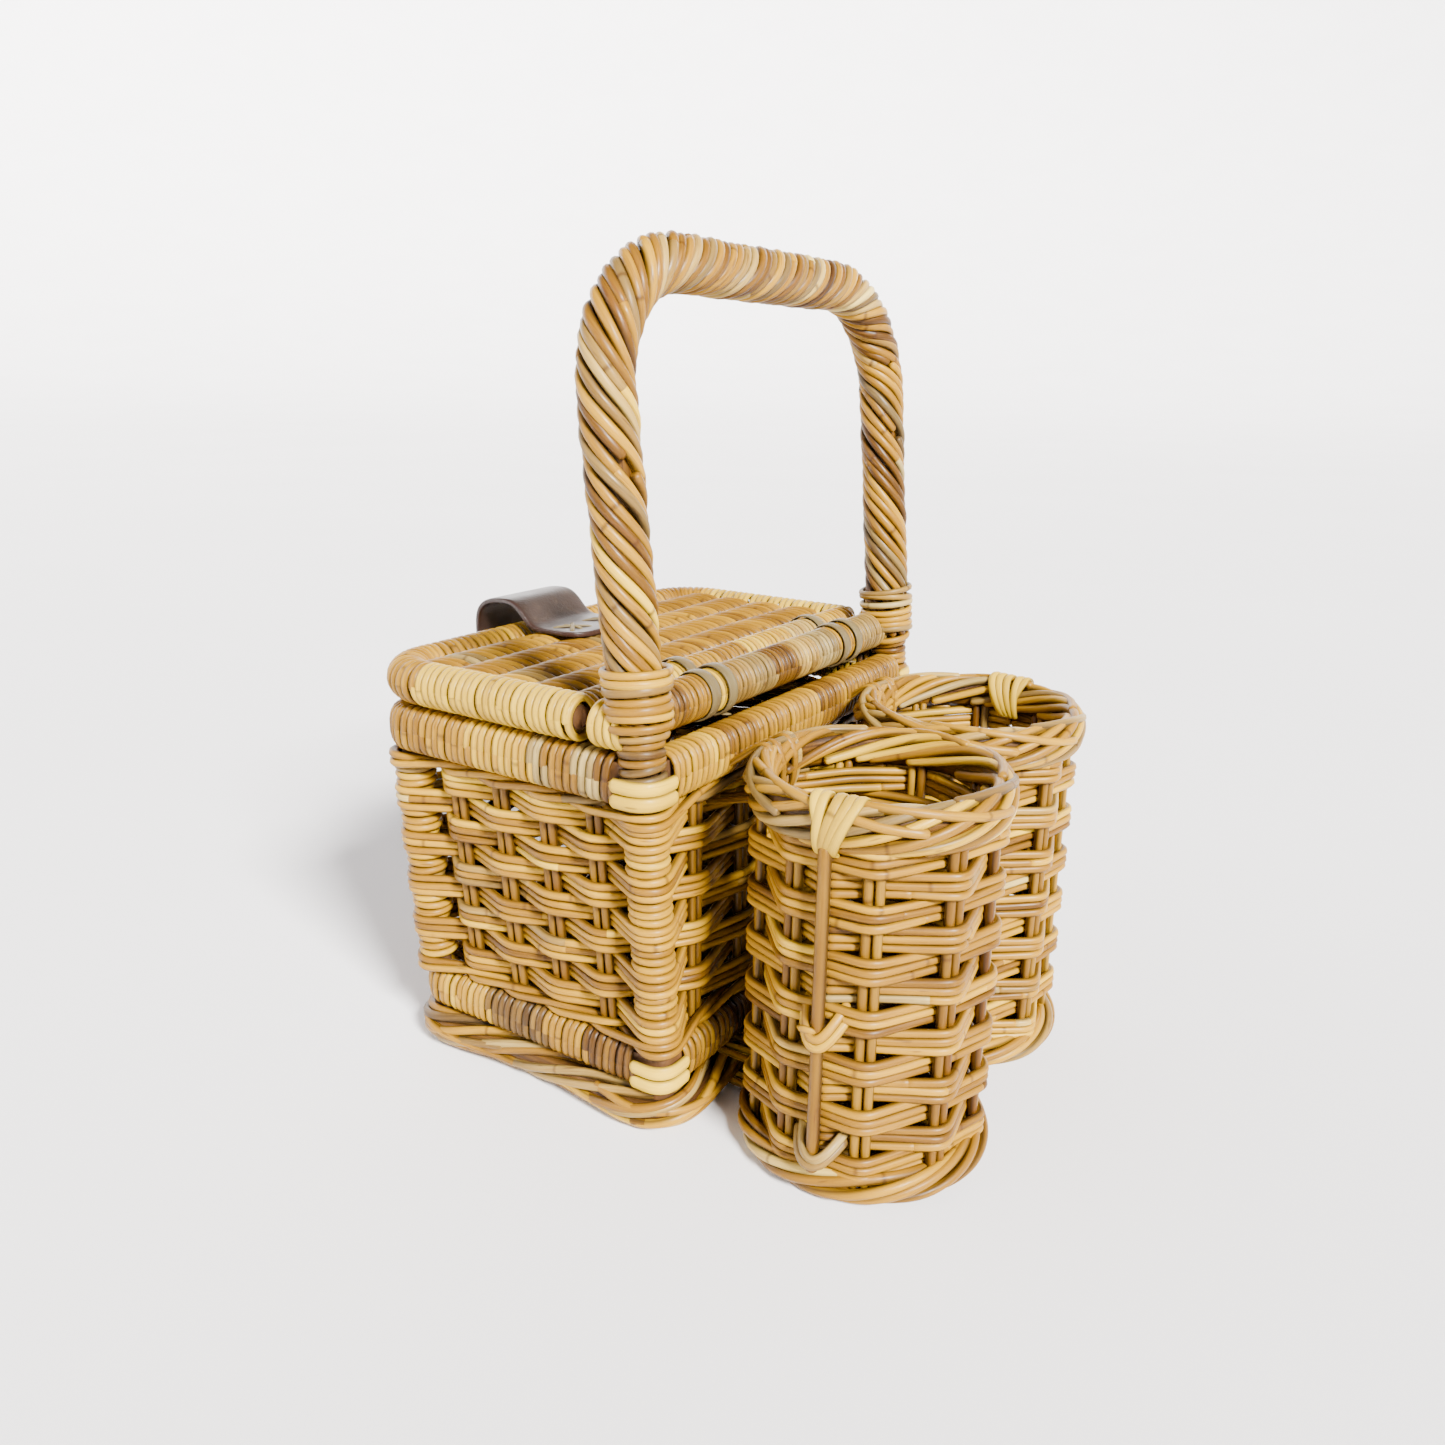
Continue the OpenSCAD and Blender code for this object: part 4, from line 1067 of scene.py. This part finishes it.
def strap_line():
    """The strap's middle line in (y, z), from its sewn end to the tip of its tail."""
    lid_top = box("lid_weave")[1][2]
    start = np.array([LID_FRONT_Y + 22 * MM, lid_top + 4.2 * MM])
    top = np.array([LID_FRONT_Y - 1 * MM, LID_Z + 26.0 * MM])
    end = np.array([STRAP_HINGE[1], STRAP_HINGE[2] - 8 * MM])
    t = np.linspace(0, 1, 22)
    rise = bezier([start, start - [9 * MM, 0], top + [11 * MM, 0], top], t)
    fall = bezier([top, top - [17 * MM, 0], end + [0, 13 * MM], end], t)[1:]
    flat = start + np.column_stack([np.linspace(STRAP_SEWN, 1 * MM, 12), np.zeros(12)])
    tip = box("strap_tail")[0][2]
    tail = np.column_stack([np.full(36, end[0]), np.linspace(end[1] - 2 * MM, tip, 36)])
    return np.vstack([flat, rise, fall, tail])


def make_strap():
    """One leather strap, with rounded ends and a slot near its tip."""
    mid = smooth(resample(strap_line(), 2.2 * MM, False), 2, False)
    tangent = unit(np.gradient(mid, axis=0))
    normal = np.column_stack([tangent[:, 1], -tangent[:, 0]])
    lengths = path_lengths(mid)
    total = lengths[-1]
    rows, columns = len(mid), len(STRAP_COLUMNS)
    sewn_corner, tip_corner = 12 * MM, 18 * MM

    def half_width(at):
        """The strap's half width at a length from its sewn end."""
        if at > total - tip_corner:
            over = at - (total - tip_corner)
            return STRAP_HALF - tip_corner + math.sqrt(max(tip_corner ** 2 - over ** 2, 0))
        if at < sewn_corner:
            return STRAP_HALF - sewn_corner + math.sqrt(max(sewn_corner ** 2 - (sewn_corner - at) ** 2, 0))
        return STRAP_HALF

    verts, faces, edge = [], [], []
    for side in (1, -1):
        for i in range(rows):
            for column in STRAP_COLUMNS:
                # The faces thin out and their colour changes towards the strap's edges
                from_edge = 1 - abs(column)
                thinner, tint = next(row[1:] for row in STRAP_EDGE if from_edge < row[0])
                y, z = mid[i] + normal[i] * (side * STRAP_T / 2 * (1 - thinner))
                verts.append((STRAP_HINGE[0] + column * half_width(lengths[i]), y, z))
                edge.append(1.0 if i in (0, rows - 1) else tint)
    half = rows * columns

    def is_open(i, c):
        """Whether a cell is off the strap or in its slot."""
        if i < 0 or i >= rows - 1 or c < 0 or c >= columns - 1:
            return True
        z = (mid[i, 1] + mid[i + 1, 1]) / 2
        near_tip = lengths[i] > total - SLOT_FROM_TIP
        return c in SLOT_COLUMNS and abs(z - TOGGLE[2]) < SLOT_HALF and near_tip

    for i in range(rows - 1):
        for c in range(columns - 1):
            if is_open(i, c):
                continue
            a, b = i * columns + c, i * columns + c + 1
            e, f = b + columns, a + columns
            faces.append((a, b, e, f))
            faces.append((half + f, half + e, half + b, half + a))
            for di, dc, p, q in ((-1, 0, a, b), (1, 0, e, f), (0, -1, f, a), (0, 1, b, e)):
                if is_open(i + di, c + dc):
                    faces.append((q, p, half + p, half + q))
    mesh = bpy.data.meshes.new("strap_leather")
    mesh.from_pydata(verts, [], faces)
    layer = mesh.attributes.new("edge", "FLOAT", "POINT")
    layer.data.foreach_set("value", np.array(edge, np.float32))
    mesh.update()
    obj = bpy.data.objects.new("strap_leather", mesh)
    bpy.context.scene.collection.objects.link(obj)
    for poly in mesh.polygons:
        poly.use_smooth = True
    bevel = obj.modifiers.new("round", "BEVEL")
    bevel.width = 0.5 * MM
    bevel.segments = 2
    bevel.limit_method = "ANGLE"
    apply_modifiers(obj)
    obj.data.materials.append(MATERIALS["leather"])
    x, y, z = (float(v) for v in STRAP_HINGE)
    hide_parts("strap_anchor", "strap_tail")
    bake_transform(obj)


def apply_modifiers(obj):
    """Makes the object's modifiers part of its mesh."""
    bpy.context.view_layer.objects.active = obj
    for other in bpy.context.selected_objects:
        other.select_set(False)
    obj.select_set(True)
    for m in list(obj.modifiers):
        bpy.ops.object.modifier_apply(modifier=m.name)


def make_stitches():
    """Crossed cane that sews the strap to the lid."""
    s = Strands(90)
    z = box("lid_weave")[1][2] + 2.7 * MM + STRAP_T + 0.5 * MM
    y = middle("strap_stitch")[1]
    t = np.linspace(-1, 1, 12)
    for dx in (-13 * MM, 13 * MM):
        for angle, length in ((40, 11), (-40, 11), (90, 7)):
            a = math.radians(angle)
            pts = np.column_stack([STRAP_HINGE[0] + dx + t * length * MM * math.cos(a),
                                   y + t * length * MM * math.sin(a), z + 0.9 * MM * (1 - t ** 4) - 0.9 * MM])
            s.add(pts, 1.5 * MM, UP, s.pick(0.6, 0.1, 0.0), flat=0.5)
    s.build("strap_stitches", "lid", "grey", ("strap_stitch",))


def make_toggle():
    """The rattan toggle and the cane that lashes it to the front wall."""
    x, back, z = TOGGLE
    bar_y = box("toggle")[0][1] + 3.4 * MM
    s = Strands(92)
    s.add(line((x, back - 1 * MM, z), (x, bar_y, z), 2 * MM), 2.9 * MM, UP, (0.4, 0.0))
    t = np.linspace(-1, 1, 15)
    pts = np.column_stack([np.full(15, x), np.full(15, bar_y), z + t * 12 * MM])
    radius = 3.35 * MM * (1 - 0.16 * np.abs(t) ** 3 - 0.12 * np.exp(-(t / 0.12) ** 2))
    s.add(pts, radius, (0, 1, 0), (0.45, 0.0), sides=12)
    s.build("toggle_peg", "toggle", "brown", ("toggle",))
    s = Strands(93)
    lo, hi = box("toggle_lashing")
    angle = circle(28)
    for k, r in enumerate((4.8, 5.6, 5.0)):
        y = lo[1] + (1.6 + 2.4 * k) * MM
        ring = np.column_stack([x + r * MM * np.cos(angle), np.full(28, y), z + r * MM * np.sin(angle)])
        s.add(ring, 1.5 * MM, (0, 1, 0), s.pick(0.6, 0.1, 0.0), closed=True)
    t = np.linspace(-1, 1, 13)
    for d in (-6.5, 6.5):
        pts = np.column_stack([x + d * MM + 0 * t, hi[1] - 6.4 * MM + 7 * MM * t ** 2, z + 9.5 * MM * t])
        s.add(pts, 1.8 * MM, (0, 1, 0), s.pick(0.6, 0.1, 0.0), flat=0.6)
    s.build("toggle_ties", "basket", "straw", ("toggle_lashing",))


# ---- bottle holders ---------------------------------------------------------------

HOLDER_STAKES = 9
HOLDER_R = 55.6 * MM              # radius of the stakes' axes
HOLDER_CROSS = 4.6 * MM           # a strand's axis from the stakes' circle
HOLDER_ROW = 12.9 * MM            # rise from row to row


def ring_points(cx, cy, radius, angle, z):
    """Points at these angles on a circle, or at one radius each."""
    return np.column_stack([cx + radius * np.cos(angle), cy + radius * np.sin(angle),
                            np.broadcast_to(z, angle.shape)])


def make_holder(side, seam, seed):
    """One bottle holder. seam is the angle of the rod that covers the ends of the weave."""
    node = "holder_%s_" % side
    cx, cy, _ = middle(node + "wall")
    top = box(node + "rim")[1][2]
    (_, _, wall_lo), (_, _, wall_hi) = box(node + "wall")
    stakes = seam + TAU * (np.arange(HOLDER_STAKES) + 0.5) / HOLDER_STAKES

    def shade(pts):
        """Painted shade: darker on the inside, and more so the deeper it is."""
        depth = step_up(-pts[:, 2], -top + 15 * MM, -top + 90 * MM)
        radial = np.hypot(pts[:, 0] - cx, pts[:, 1] - cy) - HOLDER_R
        inside = step_up(-radial, 3.2 * MM, 7.5 * MM)
        return 1 - (0.35 + 0.4 * depth) * inside

    s = Strands(seed)
    s.shade_at = shade
    for a in stakes:
        for d in (-2.6, 2.6):
            b = a + d * MM / HOLDER_R
            x, y = cx + HOLDER_R * math.cos(b), cy + HOLDER_R * math.sin(b)
            stake(s, (x, y, wall_lo - 8 * MM), (x, y, wall_hi + 6 * MM), 2.35 * MM,
                  (math.cos(b), math.sin(b), 0), 0.68, 0.2, 0.05)
    s.build(node + "uprights", "basket", "brown", (node + "stakes",))

    s = Strands(seed + 1)
    s.touch = "up"
    s.shade_at = shade
    half_cross = 1.9 * MM / HOLDER_R
    for k, z in enumerate(np.arange(wall_lo + 3 * MM, wall_hi + 1 * MM, HOLDER_ROW)):
        plan = [(HOLDER_R + 1 * MM, seam + 0.02)]
        for i, a in enumerate(stakes):
            off = HOLDER_CROSS if (i + k) % 2 == 0 else -HOLDER_CROSS
            plan += [(HOLDER_R + off, a - half_cross), (HOLDER_R + off, a + half_cross)]
        plan.append((HOLDER_R + 1 * MM, seam + TAU - 0.02))
        radius, angle = np.array(plan).T
        for dz in bundle_offsets():
            pts = ring_points(cx, cy, radius, angle, z + dz)
            pts = smooth(resample(pts, 2.3 * MM, False), 4, False)
            turn = np.linspace(0, TAU, len(pts))
            pts[:, 2] += 0.35 * MM * np.sin(turn * s.rng.integers(3, 7) + s.rng.uniform(0, 6))
            for a, b in lengths_of(s, len(pts), 15, 2):
                strand_r = STRAND_R * (1 + s.rng.normal(0, 0.03))
                s.add(pts[a:b + 1], strand_r, UP, s.pick(0.55, 0.14, 0.07), sides=7)
    s.build(node + "weave", "basket", "honey", (node + "wall",))

    s = Strands(seed + 2)
    angle = circle(120)
    ring = ring_points(cx, cy, 57.0 * MM, angle, top - 13 * MM)
    out = ring_points(0, 0, 1.0, angle, 0)
    rolled(s, ring, out, radii=(4.9 * MM, 9.6 * MM), span=7.6, turn=(-80, 205), count=18, r=2.6 * MM,
           mean=0.6, start=seam / TAU, grey=0.25)
    rolled(s, ring, out, radii=(5.9 * MM, 10.2 * MM), span=1.7, turn=(100, 2), count=7, r=2.5 * MM,
           lift=0.3 * MM, mean=0.6, start=0.3, grey=0.3)
    # Dark core under the rods: painted shade for the gaps between them
    s.add(ring, 8.4 * MM, out, (0.12, 0.0), flat=0.42, sides=10, closed=True)
    s.build(node + "rim_rods", "basket", "honey", (node + "rim",))

    s = Strands(seed + 3)
    ring = ring_points(cx, cy, 57.6 * MM, angle, 8.6 * MM)
    rolled(s, ring, out, radii=(4.6 * MM, 5.6 * MM), span=5.0, turn=(-150, 120), count=14, r=2.5 * MM,
           start=seam / TAU, grey=0.2)
    s.build(node + "foot_rods", "basket", "honey", (node + "foot",))

    s = Strands(seed + 4)
    # Painted shade: the holder's floor strands are darkened evenly, as deep inside the holder
    s.shade_at = lambda pts: np.full(len(pts), 0.35)
    z = middle(node + "floor")[2]
    angle = np.arange(0, TAU * 12, 0.14)
    spokes = 10
    pts = ring_points(cx, cy, 4 * MM + 4.0 * MM * angle / TAU, angle, 0)
    pts[:, 2] = z + 1.6 * MM * np.sin(angle * (spokes + 0.5))
    s.add(pts, 2.05 * MM, UP, s.pick(0.5, 0.1, 0.1), sides=6)
    for end in ring_points(cx, cy, 51 * MM, circle(spokes), z):
        s.add(line((cx, cy, z), end, 6 * MM), 1.9 * MM, UP, s.pick(0.4, 0.1, 0.0))
    s.build(node + "floor_weave", "basket", "honey", (node + "floor",))

    make_seam(node, cx, cy, seam, seed + 5, top)
    make_lashings(node, cx, cy, seed + 6, top)


def make_seam(node, cx, cy, seam, seed, top):
    """The brown rod over the weave's ends and the pale cane that ties it."""
    s = Strands(seed)
    r = HOLDER_R + HOLDER_CROSS + 3.6 * MM
    lo, hi = box(node + "seam")
    out = np.array([math.cos(seam), math.sin(seam), 0])
    across = np.array([-math.sin(seam), math.cos(seam), 0])
    centre = np.array([cx, cy, 0])
    path = line(centre + r * out + (lo[2] + 2 * MM) * UP, centre + r * out + (hi[2] + 4 * MM) * UP, 8 * MM)
    s.add(path, 3.1 * MM, out, (0.62, 0.0), sides=10)
    s.build(node + "seam_rod", "basket", "brown", (node + "seam",))
    s = Strands(seed + 50)

    def sling(z, dip, half, shift=0.0, width=2.4):
        """A band that hangs in a U across the rod, with both its ends tucked into the weave."""
        t = np.linspace(-1, 1, 25)
        bulge = r + 3.8 * MM - (r - HOLDER_R + 6 * MM) * np.abs(t) ** 2.6
        pts = (centre + bulge[:, None] * out + (shift * MM + half * MM * t)[:, None] * across
               + (z + dip * MM * np.abs(t) ** 2.0)[:, None] * UP)
        s.add(pts, width * MM, out, s.pick(0.6, 0.12, 0.2), flat=0.6)

    knot = 0.44 * top
    sling(knot, 13, 9.5)
    sling(knot - 4.4 * MM, 14, 11.5, 0.5)
    sling(knot + 4 * MM, -8, 7.5, -4.0, 2.0)
    sling(lo[2] + 6 * MM, 9, 12)
    sling(lo[2] + 10 * MM, 9, 10.5, 1.0)
    s.build(node + "seam_slings", "basket", "honey")
    s = Strands(seed + 60)
    for high, low, lift in ((-7, 3, 0.0), (-3, -4, 0.5), (3.5, -2.5, 1.0), (8.5, -0.5, 1.4), (13, 1.5, 1.8)):
        angle = np.linspace(-1.3, 3.9, 34)
        c, d = np.cos(angle), np.sin(angle)
        shift = low + (high - low) * np.clip((d + 1) / 1.9, 0, 1)
        reach = 8.6 * MM + lift * MM
        pts = (centre + (57.0 * MM + reach * c)[:, None] * out + (top - 13 * MM + 13.6 * MM * d)[:, None] * UP
               + (shift * MM)[:, None] * across)
        s.add(pts, 2.6 * MM, directions(angle, out, UP), s.pick(0.66, 0.07, 0.0), flat=0.45)
    s.build(node + "seam_ties", "basket", "straw")


def make_lashings(node, cx, cy, seed, top):
    """Cane that lashes a holder to the basket's back, just under its rim and at its foot."""
    s = Strands(seed)
    wall = BACK_Y - 5 * MM
    upper = ((cy - 50 * MM, top - 9 * MM), (cy - 56 * MM, top + 1 * MM), (cy - 65 * MM, top - 5 * MM),
             (wall, RIM_LO[2] - 5 * MM), (wall, RIM_LO[2] - 16 * MM), (cy - 52 * MM, top - 27 * MM))
    lower = ((wall, 22 * MM), (wall, 7 * MM), (cy - 52 * MM, 5.5 * MM), (cy - 52 * MM, 23 * MM))
    for loop, places in ((upper, (-12, -7, 5, 11)), (lower, (-9, -4.6, 4.6, 9))):
        for dx in places:
            lean = s.rng.uniform(-4, 4) * MM
            ring = np.array([(cx + dx * MM + lean * k / len(loop), y, z) for k, (y, z) in enumerate(loop)])
            ring = smooth(resample(ring, 2.2 * MM, True), 5, True)
            s.add(ring, 2.3 * MM, ring - ring.mean(0), s.pick(0.58, 0.1, 0.15), flat=0.75, closed=True)
    s.build(node + "lashings", "basket", "honey", (node + "ties",))


# ---- stage, light and camera --------------------------------------------------------

def make_stage():
    """A plain pale floor that curves up into a wall all round, far from the basket."""
    g = Graph("backdrop")
    place = g.add("ShaderNodeTexCoord").outputs["Object"]
    tint = g.ramp(g.noise(place, 1.5, 2.0), [(0.3, linear(232, 230, 231)), (0.7, linear(235, 233, 234))])
    g.finish(Base_Color=tint, Roughness=0.9)
    flat, bend, segments = 11.0, 18.0, 96
    profile = [(1.2, 0.0), (4.0, 0.0), (flat, 0.0)]
    for a in np.radians(np.linspace(6, 88, 18)):
        profile.append((flat + bend * math.sin(a), bend * (1 - math.cos(a))))
    verts = [(0, 0, 0)]
    for radius, z in profile:
        verts += [(radius * math.cos(TAU * k / segments), radius * math.sin(TAU * k / segments), z)
                  for k in range(segments)]
    faces = [(0, 1 + k, 1 + (k + 1) % segments) for k in range(segments)]
    for i in range(len(profile) - 1):
        a, b = 1 + i * segments, 1 + (i + 1) * segments
        faces += [(a + k, b + k, b + (k + 1) % segments, a + (k + 1) % segments) for k in range(segments)]
    mesh = bpy.data.meshes.new("studio_floor")
    mesh.from_pydata(verts, [], faces)
    for poly in mesh.polygons:
        poly.use_smooth = True
    mesh.materials.append(g.mat)
    floor = bpy.data.objects.new("studio_floor", mesh)
    bpy.context.scene.collection.objects.link(floor)


def placed(right, up, back, place=(0, 0, 0)):
    """The matrix of a lamp or camera at a place, with these axes."""
    return Matrix([[right[k], up[k], back[k], place[k]] for k in range(3)] + [[0, 0, 0, 1]])


def make_lights():
    """A key from the holders' side, a wide fill from the end and an even pale sky."""
    world = bpy.data.worlds.new("studio")
    world.use_nodes = True
    bg = world.node_tree.nodes["Background"]
    bg.inputs[0].default_value = linear(240, 240, 244)
    bg.inputs[1].default_value = 0.16
    bpy.context.scene.world = world
    for name, strength, spread, towards, tint in (("key", 23.2, 14, (0.34, 0.755, 0.56), (1.0, 0.985, 0.96)),
                                                  ("fill", 1.7, 50, (0.85, -0.4, 0.5), (1.0, 1.0, 1.0))):
        sun = bpy.data.lights.new(name, "SUN")
        sun.energy = strength
        sun.angle = math.radians(spread)
        sun.color = tint
        lamp = bpy.data.objects.new(name, sun)
        back = unit(np.array(towards))
        right = unit(np.cross(UP, back))
        lamp.matrix_world = placed(right, np.cross(back, right), back)
        bpy.context.scene.collection.objects.link(lamp)


def make_camera():
    """The photograph's viewpoint: above the handle side, looking along the basket."""
    azimuth, elevation, roll = math.radians(123.07), math.radians(16.77), math.radians(0.83)
    back = np.array([math.sin(azimuth) * math.cos(elevation), -math.cos(azimuth) * math.cos(elevation),
                     math.sin(elevation)])
    level = np.array([math.cos(azimuth), math.sin(azimuth), 0])
    upright = np.cross(back, level)
    right = math.cos(roll) * level + math.sin(roll) * upright
    up = -math.sin(roll) * level + math.cos(roll) * upright
    data = bpy.data.cameras.new("camera")
    data.sensor_width = 36
    data.lens = 28.72
    data.clip_start = 0.01
    cam = bpy.data.objects.new("camera", data)
    from_front = 462.7 * MM           # across the basket, from its front posts
    place = np.array([534.6 * MM, FRONT_Y + from_front, 373.8 * MM])
    cam.matrix_world = placed(right, up, back, place)
    bpy.context.scene.collection.objects.link(cam)
    bpy.context.scene.camera = cam


make_camera()
make_lights()
make_stage()
make_sides()
make_stakes()
make_corner_wraps()
make_waling()
make_rims()
make_foot()
make_floor()
make_handle()
make_bindings()
make_hinge_rail()
make_lid_frame()
make_lid_weave()
make_strap()
make_stitches()
make_toggle()
make_holder("right", math.radians(5), 100)
make_holder("left", math.radians(173), 200)

# Rods that stay as the frame has them
for name in ("corner_posts", "rim_core", "base_rail_core", "hinge_rail_core", "lid_core", "lid_stakes"):
    mesh = frame["nodes"][name].data
    mesh.materials.clear()
    mesh.materials.append(MATERIALS["core"])
